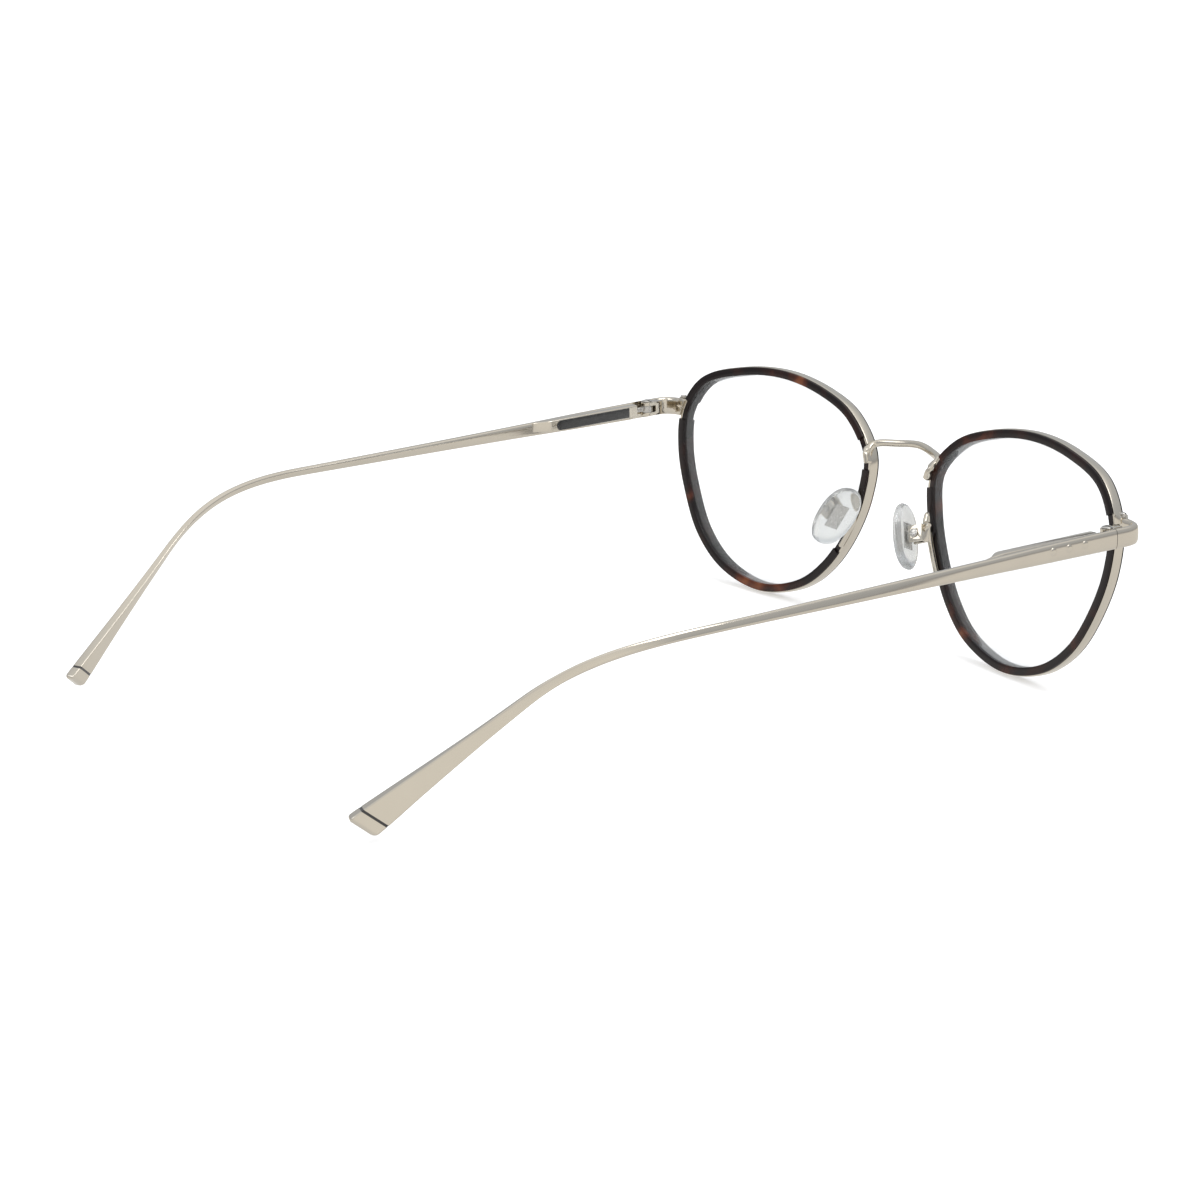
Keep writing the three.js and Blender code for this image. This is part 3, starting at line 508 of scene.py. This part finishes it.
for share in np.linspace(0, 1, 121):
    to_end = min(share, 1 - share) * bridge_line.length
    foot = smooth((FOOT_LENGTH - to_end + 0.8) / FOOT_BLEND)
    width = BRIDGE_THICKNESS + (FOOT_WIDTH - BRIDGE_THICKNESS) * foot
    height = BRIDGE_THICKNESS + (FOOT_THICKNESS - BRIDGE_THICKNESS) * foot
    tuck = 1 - END_TUCK * (1 - min(to_end / END_TUCK, 1)) ** 2
    across, up = upright(bridge_line.along(share))
    section = oval(width * tuck, height * tuck, 2.6 + foot, 24)
    bridge_rings.append([
        bridge_line.at(share) + wide * across + tall * up for wide, tall in section
    ])
arch = surface("bridge_arch", bridge_rings, front_pose)
finished(arch, "front", nickel, "bridge")

# ---- Nose pads ------------------------------------------------------------------------------------
# A wire arm is brazed along the back of each eyewire and loops up and back to a small box. The pad
# is clear silicone moulded round a metal plate, whose tab is held in the box by a slotted screw.

PAD_CENTRE = Vector((9.6, 6.8, -2))
PAD_LENGTH = 12.3
PAD_WIDTH = 7.8
PAD_THICKNESS = 1.8
PAD_FLARE = math.radians(24)
PAD_LEAN = math.radians(10)
PAD_SPLAY = math.radians(14)
PAD_STANDOFF = 1.65
BOX_WIDTH = 2.3
BOX_HEIGHT = 3.1
BOX_BACK = 1.65
ARM_WIRE = 0.9
ARM_LOOP_RISE = 5.2
PAD_SCREW_RADIUS = 0.4
PAD_SCREW_HEAD = 0.8
SCREW_HEAD_RISE = 0.3
SCREW_PROUD = 0.05

silicone, nodes = new_finish("clear_silicone")
cloud = nodes.noise(500, 2)
nodes.coated(
    Base_Color=nodes.mix(cloud, (0.90, 0.92, 0.92, 1), (0.95, 0.965, 0.965, 1)),
    Roughness=0.08 + 0.1 * cloud,
    IOR=1.43,
    Transmission_Weight=0.85,
)

steel, nodes = new_finish("plain_steel")
turning = nodes.noise(6000, 3, stretch=(1, 1, 0.1))
nodes.coated(
    Base_Color=nodes.mix(turning, (0.60, 0.585, 0.555, 1), (0.52, 0.505, 0.48, 1)),
    Metallic=1.0,
    Roughness=0.2 + 0.12 * turning,
    Normal=nodes.bump(turning, 0.08, 0.00001),
)

pad_turn = (
    Matrix.Rotation(PAD_LEAN, 4, "X")
    @ Matrix.Rotation(-PAD_FLARE, 4, "Y")
    @ Matrix.Rotation(math.pi - PAD_SPLAY, 4, "Z")
)
pad_facing = pad_turn @ Vector((1, 0, 0))
pad_seat = PAD_CENTRE - pad_facing * (PAD_STANDOFF + PAD_THICKNESS / 2)
pad_in_front = Matrix.Translation(pad_seat) @ pad_turn
pad_pose = front_pose @ pad_in_front


def wire(name, line, radius, pose, stations=90, sides=16):
    """A round wire along a line, with no twist from one end to the other."""
    angles = 2 * math.pi * np.arange(sides) / sides
    across = upright(line.along(0))[0]
    rings = []
    for share in np.linspace(0, 1, stations):
        along = line.along(share)
        across = unit(across - along * (across @ along))
        up = np.cross(along, across)
        rings.append([
            line.at(share) + radius * (math.cos(angle) * across + math.sin(angle) * up)
            for angle in angles
        ])
    return surface(name, rings, pose)


def carved(made, *tools):
    """Cuts each tool out of a piece and removes the tool."""
    for tool in tools:
        cut = made.modifiers.new("cut", "BOOLEAN")
        cut.operation = "DIFFERENCE"
        cut.solver = "EXACT"
        cut.object = tool
    bpy.context.view_layer.update()
    shape = made.evaluated_get(bpy.context.evaluated_depsgraph_get())
    mesh = bpy.data.meshes.new_from_object(shape)
    mesh.name = made.name
    made.modifiers.clear()
    made.data = mesh
    for tool in tools:
        bpy.data.objects.remove(tool)
    return made


def slab(name, low, high, pose):
    """A rectangular block between two corners."""
    (x0, y0, z0), (x1, y1, z1) = low, high
    return surface(name, [
        [np.array((x, y, z)) for x, y in ((x0, y0), (x1, y0), (x1, y1), (x0, y1))]
        for z in (z0, z1)
    ], pose)


def softened(made, edge, sharper=25):
    """Turns a small bevel on the sharp edges of a piece. The size is in millimetres."""
    body = bmesh.new()
    body.from_mesh(made.data)
    bmesh.ops.remove_doubles(body, verts=body.verts, dist=1e-6)
    bmesh.ops.dissolve_limit(body, angle_limit=0.01, verts=body.verts, edges=body.edges)
    limit = math.radians(sharper)
    picked = [e for e in body.edges if e.is_manifold and e.calc_face_angle() > limit]
    bmesh.ops.bevel(
        body, geom=picked, offset=edge / 1000, offset_type="OFFSET", segments=2,
        profile=0.5, affect="EDGES", clamp_overlap=True,
    )
    bmesh.ops.recalc_face_normals(body, faces=body.faces)
    body.to_mesh(made.data)
    body.free()
    return made


def from_cad(name, node):
    """A new piece with a CAD node's own shape."""
    made = bpy.data.objects.new(name, frame["nodes"][node].data.copy())
    bpy.context.scene.collection.objects.link(made)
    return made


def turned(name, profile, pose, sides=40):
    """A turned piece about Z, from a profile of radii and heights."""
    angles = 2 * math.pi * np.arange(sides) / sides
    rings = [
        [np.array([radius * math.cos(a), radius * math.sin(a), height]) for a in angles]
        for radius, height in profile
    ]
    return surface(name, rings, pose)


def slotted_screw(name, shaft, head, low, high, pose):
    """A screw from low to high with a domed head above that, cut across by a slot."""
    rise = SCREW_HEAD_RISE
    dome = [
        (head * (1 - 0.35 * t * t), high + rise * (0.45 + 0.55 * t))
        for t in (0, 0.5, 0.8, 1)
    ]
    profile = [
        (shaft * 0.75, low), (shaft, low + shaft * 0.25), (shaft, high),
        (head * 0.94, high), (head, high + rise * 0.2), *dome,
    ]
    made = turned(name, profile, pose)
    half_slot = head * 0.15
    low_corner = (-2 * head, -half_slot, high + rise * 0.4)
    high_corner = (2 * head, half_slot, high + 2 * rise)
    return carved(made, slab("slot", low_corner, high_corner, pose))


foot_low, foot_middle, foot_high = [
    on_rim(share_at_height(height, True), BAND_OUTER - 0.35, BAND_HALF_DEPTH + 0.5)
    for height in (ARM_FOOT_BOTTOM, (ARM_FOOT_BOTTOM + ARM_FOOT_TOP) / 2, ARM_FOOT_TOP)
]
loop_top = foot_high + np.array([0.6, 2.1, ARM_LOOP_RISE])
arm_end = np.array(pad_in_front @ Vector((-BOX_BACK, 0, BOX_HEIGHT * 0.2)))
arm_line = Course([
    foot_low,
    foot_middle,
    foot_high,
    foot_high + np.array([0, 1, ARM_LOOP_RISE * 0.55]),
    loop_top,
    loop_top + np.array([0.9, 1, -1.5]),
    arm_end + np.array([0.55, -0.35, 0.9]),
    arm_end,
])

# The pad from its back to its domed front: share of its thickness, and of its length and width
pad_layers = [
    (0, 0.55), (0.02, 0.7), (0.07, 0.82), (0.16, 0.92), (0.3, 0.985), (0.42, 1), (0.55, 0.985),
    (0.66, 0.94), (0.76, 0.86), (0.85, 0.75), (0.92, 0.6), (0.965, 0.44), (0.99, 0.25), (1, 0.08),
]
pad_rings = [
    [
        np.array([PAD_STANDOFF + PAD_THICKNESS * depth, wide, tall])
        for wide, tall in oval(PAD_WIDTH * share, PAD_LENGTH * share, 2.3, 56)
    ]
    for depth, share in pad_layers
]
on_side = Matrix.Rotation(math.pi / 2, 4, "X")
for side in SIDES:
    held = facing[side] @ pad_pose
    arm = wire(f"pad_wire_{side}", arm_line, ARM_WIRE / 2, facing[side] @ front_pose)
    finished(arm, "front", nickel, f"pad_arm_{side}")
    box = softened(from_cad(f"pad_clasp_{side}", f"pad_box_{side}"), 0.12)
    finished(box, "front", nickel, f"pad_box_{side}")
    half = BOX_WIDTH / 2
    screw = slotted_screw(
        f"pad_bolt_{side}", PAD_SCREW_RADIUS, PAD_SCREW_HEAD,
        -half, half + SCREW_PROUD, held @ on_side,
    )
    finished(screw, "front", steel, f"pad_screw_{side}")
    plate = softened(from_cad(f"pad_plate_{side}", f"pad_insert_{side}"), 0.06)
    finished(plate, f"pad_{side}", steel, f"pad_insert_{side}")
    pad = surface(f"soft_pad_{side}", pad_rings, held)
    finished(pad, f"pad_{side}", silicone, f"nose_pad_{side}")

# ---- Closing blocks -------------------------------------------------------------------------------
# Two small blocks are brazed to the eyewire's ends, above and below its slit. A screw down through
# them closes the rim on the lens.

BLOCK_REACH = 1.5
BLOCK_HALF_HEIGHT = 1.4
BLOCK_BACK = 1.15
RIM_SCREW_RADIUS = 0.4
RIM_SCREW_HEAD = 0.6
BLOCK_EDGE = 0.15

closing_axis = on_rim(share_at_height(HINGE_HEIGHT), BAND_OUTER + BLOCK_REACH / 2, BLOCK_BACK / 4)
screw_seat = front_pose @ Matrix.Translation(closing_axis)
for side in SIDES:
    for level in ("upper", "lower"):
        node = f"closing_block_{level}_{side}"
        block = softened(from_cad(f"rim_lock_{level}_{side}", node), BLOCK_EDGE)
        finished(block, "front", nickel, node)
    screw = slotted_screw(
        f"rim_bolt_{side}", RIM_SCREW_RADIUS, RIM_SCREW_HEAD,
        -BLOCK_HALF_HEIGHT - 0.15, BLOCK_HALF_HEIGHT + 0.5, facing[side] @ screw_seat,
    )
    finished(screw, "front", steel, f"rim_screw_{side}")

# ---- End pieces -----------------------------------------------------------------------------------
# A polished bar with a crowned face, bent round the corner from the closing block to the temple.
# Its inside is hollowed where the hinge's knuckles turn.

BAR_HEIGHT = 3.4
BAR_THICKNESS = 1.4
BAR_INNER = 0.65
BAR_LOW = 0.35
BAR_MIDDLE = BAR_INNER + BAR_THICKNESS / 2
JOINT_AHEAD = 0.4
JOINT_GAP = 0.1
WRAP_RADIUS = 3
WRAP_DEPTH = 6.9
BLOCK_FRONT = -0.75
KNUCKLE_RADIUS = 1.2
KNUCKLE_ROOM = 0.1
TEMPLE_DROP = math.radians(1.8)
TEMPLE_CONVERGE = math.radians(0.7)

hinge_pose = (
    Matrix.Translation(hinge_place)
    @ Matrix.Rotation(-TEMPLE_DROP, 4, "X")
    @ Matrix.Rotation(TEMPLE_CONVERGE, 4, "Z")
)
front_to_hinge = hinge_pose.inverted() @ front_pose
block_middle = on_rim(share_at_height(HINGE_HEIGHT), BAND_OUTER, (BLOCK_FRONT + BLOCK_BACK) / 2)
seat = np.array(front_to_hinge @ Vector(block_middle))
joint = -JOINT_AHEAD - JOINT_GAP / 2
turn = WRAP_RADIUS - BAR_THICKNESS / 2
ahead = -WRAP_DEPTH + BAR_THICKNESS / 2
corner = turn * (1 - math.sqrt(0.5))
wrap_line = Course([
    (seat[0] + 0.3, seat[1] - 0.3, seat[2]),
    (seat[0] + BLOCK_REACH, (seat[1] + ahead) / 2, seat[2]),
    (BAR_MIDDLE - turn, ahead, (seat[2] - BAR_LOW) / 2),
    (BAR_MIDDLE - corner, ahead + corner, -BAR_LOW),
    (BAR_MIDDLE, ahead + turn, -BAR_LOW),
    (BAR_MIDDLE, joint, -BAR_LOW),
])


def bar_ring(centre, along, thickness, height, square, twist=0, slant=0, lean=0, sides=40):
    """A bar's outline: slant cuts it at an angle, and lean turns its upper face outward."""
    across, up = upright(along)
    cos, sin = math.cos(twist), math.sin(twist)
    across, up = across * cos - up * sin, up * cos + across * sin
    across = across - up * lean
    up = up + along * slant
    outline = oval(thickness, height, square, sides)
    return [centre + wide * across + tall * up for wide, tall in outline]


wrap_rings = [
    bar_ring(wrap_line.at(share), wrap_line.along(share), BAR_THICKNESS, BAR_HEIGHT, 3)
    for share in np.linspace(0, 1, 61)
]
for side in SIDES:
    pose = facing[side] @ hinge_pose
    wrap = surface(f"end_bar_{side}", wrap_rings, pose)
    room_radius = KNUCKLE_RADIUS + KNUCKLE_ROOM
    room = turned("room", [(room_radius, -BAR_HEIGHT), (room_radius, BAR_HEIGHT)], pose)
    finished(carved(wrap, room), "front", nickel, f"end_piece_{side}")

# ---- Hinges ---------------------------------------------------------------------------------------
# A bracket on the end piece holds two knuckles, with a third between them that belongs to the
# spring's shuttle. A slotted screw goes down through all three. The coil spring keeps its CAD shape.

SCREW_RADIUS = 0.5
SCREW_HEAD = 0.95
HINGE_HALF = 1.33
BRACKET_EDGE = 0.1
SLIDER_EDGE = 0.06
HINGE_SHARP = 35  # only edges sharper than this many degrees are softened

for side in SIDES:
    pose = facing[side] @ hinge_pose
    bracket = from_cad(f"knuckle_bracket_{side}", f"hinge_bracket_{side}")
    softened(bracket, BRACKET_EDGE, HINGE_SHARP)
    finished(bracket, "front", nickel, f"hinge_bracket_{side}")
    screw = slotted_screw(
        f"hinge_bolt_{side}", SCREW_RADIUS, SCREW_HEAD, -HINGE_HALF, HINGE_HALF + SCREW_PROUD, pose
    )
    finished(screw, "front", steel, f"hinge_screw_{side}")
    slider = from_cad(f"spring_slider_{side}", f"shuttle_{side}")
    softened(slider, SLIDER_EDGE, HINGE_SHARP)
    finished(slider, f"shuttle_{side}", steel, f"shuttle_{side}")
    spring = frame["nodes"][f"hinge_spring_{side}"]
    spring.data.materials.clear()
    spring.data.materials.append(steel)

# ---- Temples --------------------------------------------------------------------------------------
# One polished nickel bar each: deep and crowned at the hinge, slender and turning along its length,
# and flaring over the ear into a crisp flat paddle. A black band parts it from its end cap.

TEMPLE_LENGTH = 145
EAR_BEND = 103
EAR_DROP = math.radians(35.2)
EAR_INWARD = 4.9
EAR_FALL = 1.6
TIP_INWARD = math.radians(16.8)
BEND_AHEAD = 24
BEND_BEHIND = 11
BEND_LEAD = 0.38
TIP_SKEW = math.radians(20)
SKEW_LENGTH = 8
TIP_LEAN = 0.3  # how far the tip's upper face falls outward, as a slope
LEAN_LENGTH = 10
CAP_LENGTH = 2.4
SPACER_LENGTH = 0.4
# Share of the way to the ear bend, and past 1 from there to the tip: height, thickness, twist in
# degrees, and how square the section is
TEMPLE_SIZES = [
    (0, 3.4, 1.4, 0, 3), (0.15, 3.1, 1.4, 0, 3), (0.27, 2.6, 1.4, 0, 3), (0.45, 2.1, 1.35, 12, 3),
    (0.6, 1.8, 1.25, 20, 3), (0.75, 1.5, 1.15, 25, 3), (0.92, 1.45, 1.1, 28, 3.4),
    (1.2, 1.6, 1.05, 30, 6), (1.45, 2.1, 1.3, 25, 10), (1.7, 3.1, 1.6, 20, 12),
    (1.93, 4.3, 1.9, 15, 12), (2, 4.6, 2, 15, 12),
]

EASE_REACH = 4

tip_length = TEMPLE_LENGTH - EAR_BEND
temple_start = -JOINT_AHEAD + JOINT_GAP / 2
tip_direction = np.array([
    -math.sin(TIP_INWARD),
    math.cos(TIP_INWARD) * math.cos(EAR_DROP),
    -math.cos(TIP_INWARD) * math.sin(EAR_DROP),
])
bend_point = np.array([BAR_MIDDLE - EAR_INWARD, EAR_BEND, -BAR_LOW - EAR_FALL])


class TempleLine:
    """The temple's middle line: straight, a curve over the ear, then straight to the tip."""

    REACH = 0.4  # how far on each side the direction is taken

    def __init__(self):
        before = np.array([BAR_MIDDLE, EAR_BEND - BEND_AHEAD, -BAR_LOW])
        lead = np.array([BAR_MIDDLE, EAR_BEND - BEND_AHEAD * BEND_LEAD, -BAR_LOW])
        behind = bend_point + BEND_BEHIND * tip_direction
        t = np.linspace(0, 1, 200)[:, None]
        curve = (
            (1 - t) ** 3 * before + 3 * (1 - t) ** 2 * t * lead
            + 3 * (1 - t) * t**2 * bend_point + t**3 * behind
        )
        start = np.array([BAR_MIDDLE, temple_start, -BAR_LOW])
        end = bend_point + tip_length * tip_direction
        self.line = np.concatenate([[start], curve, [end]])
        spans = np.linalg.norm(np.diff(self.line, axis=0), axis=1)
        self.marks = np.concatenate([[0], np.cumsum(spans)])

    def at(self, distance):
        share = (distance - temple_start) / (TEMPLE_LENGTH - temple_start)
        return np.array([
            np.interp(share * self.marks[-1], self.marks, axis) for axis in self.line.T
        ])

    def along(self, distance):
        ahead = self.at(min(distance + self.REACH, TEMPLE_LENGTH))
        return unit(ahead - self.at(max(distance - self.REACH, temple_start)))


temple_line = TempleLine()
cap_start = TEMPLE_LENGTH - CAP_LENGTH
spacer_start = cap_start - SPACER_LENGTH
size_shares = [row[0] for row in TEMPLE_SIZES]


def temple_ring(distance, shrink=0):
    """The temple's outline at a distance from the hinge. The row values are eased into each other."""
    values = []
    for column in range(1, 5):
        steps = [row[column] for row in TEMPLE_SIZES]
        near = []
        for shift in np.linspace(-EASE_REACH, EASE_REACH, 9):
            past = (distance + shift - EAR_BEND) / tip_length
            share = 1 + past if past > 0 else (distance + shift) / EAR_BEND
            near.append(np.interp(share, size_shares, steps))
        values.append(sum(near) / len(near))
    height, thickness, twist, square = values
    slant = math.tan(TIP_SKEW) * smooth((distance - spacer_start + SKEW_LENGTH) / SKEW_LENGTH)
    lean = TIP_LEAN * smooth((distance - EAR_BEND) / LEAN_LENGTH)
    return bar_ring(
        temple_line.at(distance), temple_line.along(distance), thickness - 2 * shrink,
        height - 2 * shrink, square, -math.radians(twist), slant, lean, 48,
    )


enamel, nodes = new_finish("black_enamel")
depths = nodes.noise(1200, 3)
nodes.coated(
    Base_Color=nodes.mix(depths, (0.010, 0.010, 0.010, 1), (0.022, 0.021, 0.020, 1)),
    Roughness=0.14 + 0.12 * depths,
    IOR=1.5,
    Coat_Weight=0.4,
    Coat_Roughness=0.05,
)

STUD_RADIUS = 0.72
STUD_PITCH = 3.5
FIRST_STUD = 6.9
STUD_PROUD = 0.12
STUD_SUNK = 0.5
HOUSING_FRONT = 3
ARM_ROOM = 0.15  # beside the knuckles, where the bar's inner face is cut back
SPACER_SHRINK = 0.04
CAP_ROUND = 0.9
bar_outer = BAR_INNER + BAR_THICKNESS

arm_stations = [
    *np.linspace(temple_start, EAR_BEND - BEND_AHEAD, 60),
    *np.linspace(EAR_BEND - BEND_AHEAD, spacer_start - 0.05, 110)[1:],
]
arm_rings = [temple_ring(distance) for distance in arm_stations]
spacer_rings = [
    temple_ring(distance, SPACER_SHRINK) for distance in (spacer_start - 0.06, cap_start)
]
cap_rings = [
    temple_ring(distance)
    for distance in np.linspace(cap_start - 0.01, TEMPLE_LENGTH - CAP_ROUND, 6)
]
for t in np.linspace(0, 1, 7)[1:]:
    angle = t * math.pi / 2
    distance = TEMPLE_LENGTH - CAP_ROUND * (1 - math.sin(angle))
    cap_rings.append(temple_ring(distance, CAP_ROUND * 0.8 * (1 - math.cos(angle))))
for side in SIDES:
    pose = facing[side] @ hinge_pose
    body = f"temple_{side}"
    arm = surface(f"temple_bar_{side}", arm_rings, pose)
    step_end = (KNUCKLE_RADIUS + ARM_ROOM, HOUSING_FRONT, BAR_HEIGHT)
    step = slab("step", (-BAR_HEIGHT, -BAR_HEIGHT, -BAR_HEIGHT), step_end, pose)
    finished(carved(arm, step), body, nickel, f"temple_arm_{side}")
    spacer = surface(f"tip_band_{side}", spacer_rings, pose)
    finished(spacer, body, enamel, f"tip_spacer_{side}")
    cap = surface(f"end_cap_{side}", cap_rings, pose)
    finished(cap, body, nickel, f"tip_cap_{side}")
    for i in range(3):
        place = (bar_outer - STUD_SUNK, FIRST_STUD + i * STUD_PITCH, 0)
        stud_pose = pose @ Matrix.Translation(place) @ Matrix.Rotation(math.pi / 2, 4, "Y")
        rise = STUD_SUNK + STUD_PROUD
        profile = [
            (STUD_RADIUS, 0), (STUD_RADIUS, rise - 0.2), (STUD_RADIUS * 0.93, rise - 0.1),
            (STUD_RADIUS * 0.75, rise - 0.03), (STUD_RADIUS * 0.4, rise), (STUD_RADIUS * 0.1, rise),
        ]
        stud = turned(f"pin_{i + 1}_{side}", profile, stud_pose)
        finished(stud, body, nickel, f"stud_{i + 1}_{side}")

# ---- Spring housings ------------------------------------------------------------------------------
# A slim box brazed to the temple's inner face holds the spring. A black enamel plate is let into
# it, square at the front and round at the back.

HOUSING_LENGTH = 24
HOUSING_HALF_HEIGHT = 1.2
HOUSING_INWARD = 0.95
HOUSING_TAPER = 3.5
INLAY_START = 2
INLAY_LENGTH = 17.5
INLAY_HALF_HEIGHT = 0.95
HOUSING_EDGE = 0.12
HOUSING_ROUND = 0.3
housing_outer = BAR_INNER + 0.3


def housing_ring(distance, inward, half):
    """The housing's outline at a distance from the hinge. Its outer edge is sunk in the bar."""
    corners = [
        (-inward, -half), (housing_outer, -half), (housing_outer, half), (-inward, half),
    ]
    return [np.array([x, distance, z]) for x, z in rounded(corners, HOUSING_ROUND, 4)]


housing_end = HOUSING_FRONT + HOUSING_LENGTH
housing_rings = [
    housing_ring(
        HOUSING_FRONT, HOUSING_INWARD - HOUSING_EDGE, HOUSING_HALF_HEIGHT - HOUSING_EDGE
    ),
    housing_ring(HOUSING_FRONT + HOUSING_EDGE, HOUSING_INWARD, HOUSING_HALF_HEIGHT),
]
for t in np.linspace(0, 1, 9):
    distance = housing_end - HOUSING_TAPER * (1 - t)
    inward = HOUSING_INWARD - (HOUSING_INWARD + BAR_INNER) * smooth(t)
    housing_rings.append(housing_ring(distance, inward, HOUSING_HALF_HEIGHT * (1 - 0.25 * t)))
inlay_low = HOUSING_FRONT + INLAY_START
arc = [
    (inlay_low + INLAY_LENGTH - INLAY_HALF_HEIGHT + INLAY_HALF_HEIGHT * math.cos(a),
     INLAY_HALF_HEIGHT * math.sin(a))
    for a in np.linspace(-math.pi / 2, math.pi / 2, 17)
]
inlay_outline = [(inlay_low, -INLAY_HALF_HEIGHT), *arc, (inlay_low, INLAY_HALF_HEIGHT)]
for side in SIDES:
    pose = facing[side] @ hinge_pose
    body = f"temple_{side}"
    housing = surface(f"spring_box_{side}", housing_rings, pose)
    finished(housing, body, nickel, f"spring_housing_{side}")
    plate_rings = [
        [np.array([x, y, z]) for y, z in inlay_outline]
        for x in (-HOUSING_INWARD - 0.01, -HOUSING_INWARD + 0.1)
    ]
    inlay = softened(surface(f"enamel_plate_{side}", plate_rings, pose), 0.02)
    finished(inlay, body, enamel, f"inlay_plate_{side}")

# ---- Floor and light ------------------------------------------------------------------------------
# A plain white sweep in a white studio. The room is bright overhead and darker level with the
# object, so that polished metal shows a soft dark line along its edges.

FLOOR_RADII = (0.3, 1, 3, 8)
FLOOR_SIDES = 64
FLOOR_LEVEL = -0.0002

floor_mesh = bpy.data.meshes.new("floor")
floor_body = bmesh.new()
floor_rows = []
for radius in FLOOR_RADII:
    floor_rows.append([
        floor_body.verts.new((radius * math.cos(a), radius * math.sin(a), FLOOR_LEVEL))
        for a in np.linspace(0, 2 * math.pi, FLOOR_SIDES, endpoint=False)
    ])
floor_body.faces.new(floor_rows[0])
for inner, outer in zip(floor_rows, floor_rows[1:]):
    for i in range(FLOOR_SIDES):
        k = (i + 1) % FLOOR_SIDES
        floor_body.faces.new((inner[i], outer[i], outer[k], inner[k]))
floor_body.to_mesh(floor_mesh)
floor_body.free()
floor = bpy.data.objects.new("floor", floor_mesh)
bpy.context.scene.collection.objects.link(floor)
paper, nodes = new_finish("white_floor")
grain = nodes.noise(20, 2)
nodes.coated(
    Base_Color=nodes.mix(grain, (0.90, 0.90, 0.90, 1), (0.92, 0.92, 0.92, 1)),
    Roughness=0.9,
    Specular_IOR_Level=0.0,
    Emission_Color=(1, 1, 1, 1),
    Emission_Strength=0.35,
)
floor_mesh.materials.append(paper)
floor.visible_glossy = False
floor.visible_transmission = False

world = bpy.data.worlds.new("studio")
bpy.context.scene.world = world
room = Finish(world)
direction = room.node("ShaderNodeTexCoord", output="Generated")
height = room.node("ShaderNodeSeparateXYZ", {}, {"Vector": direction}, "Z")
walls = room.ramp(0.5 + 0.5 * height, [
    (0.0, (0.80, 0.80, 0.80)),
    (0.46, (0.92, 0.90, 0.87)),
    (0.50, (0.40, 0.40, 0.41)),
    (0.56, (0.52, 0.54, 0.57)),
    (0.80, (0.62, 0.64, 0.67)),
    (0.93, (1.0, 1.0, 1.0)),
])
towards = room.node(
    "ShaderNodeVectorMath", {"operation": "DOT_PRODUCT"},
    {0: direction, 1: (-0.87, 0.42, 0.26)}, "Value",
)
behind = room.node(
    "ShaderNodeMapRange", {"interpolation_type": "SMOOTHSTEP"},
    {"Value": towards, "From Min": 0.75, "From Max": 0.97},
)
lit = room.mix(behind, walls, (0.98, 0.96, 0.92, 1))
seen = room.node("ShaderNodeLightPath", output="Is Camera Ray")
white = room.mix(seen, lit, (1.0, 1.0, 1.0, 1))
light = room.node("ShaderNodeBackground", {}, {"Color": white, "Strength": 1.0})
room.node("ShaderNodeOutputWorld", {}, {"Surface": light})

# Name, place in metres, width and power of each lamp
LAMPS = [
    ("key", (-0.5, -0.2, 0.9), 0.5, 3),
    ("fill", (0.3, 0.9, 0.7), 0.6, 2),
]
for name, place, size, power in LAMPS:
    lamp = bpy.data.lights.new(name, "AREA")
    lamp.size = size
    lamp.energy = power
    holder = bpy.data.objects.new(name, lamp)
    holder.location = place
    aim = Vector((0, 0, 0.02)) - Vector(place)
    holder.rotation_euler = aim.to_track_quat("-Z", "Y").to_euler()
    bpy.context.scene.collection.objects.link(holder)

# ---- Camera ---------------------------------------------------------------------------------------
# Behind the wearer's right shoulder, looking forward, down and across to the left.

CAMERA_FROM_FRONT = Vector((-436.494, 382.709, 137.374))
CAMERA_LENS = 96.878
camera_right = Vector((-0.583985, -0.81175, 0.004822))
camera_up = Vector((0.211502, -0.146416, 0.966348))
camera_back = Vector((-0.783728, 0.565353, 0.257191))

camera_data = bpy.data.cameras.new("camera")
camera_data.sensor_width = 36
camera_data.lens = CAMERA_LENS
camera_data.clip_start = 0.01
camera_data.clip_end = 50
camera = bpy.data.objects.new("camera", camera_data)
bpy.context.scene.collection.objects.link(camera)
axes = Matrix((camera_right, camera_up, camera_back)).transposed().to_4x4()
camera.matrix_world = Matrix.Translation((front_place + CAMERA_FROM_FRONT) / 1000) @ axes
bpy.context.scene.camera = camera
bpy.context.scene.view_settings.view_transform = "Standard"

bpy.context.view_layer.update()
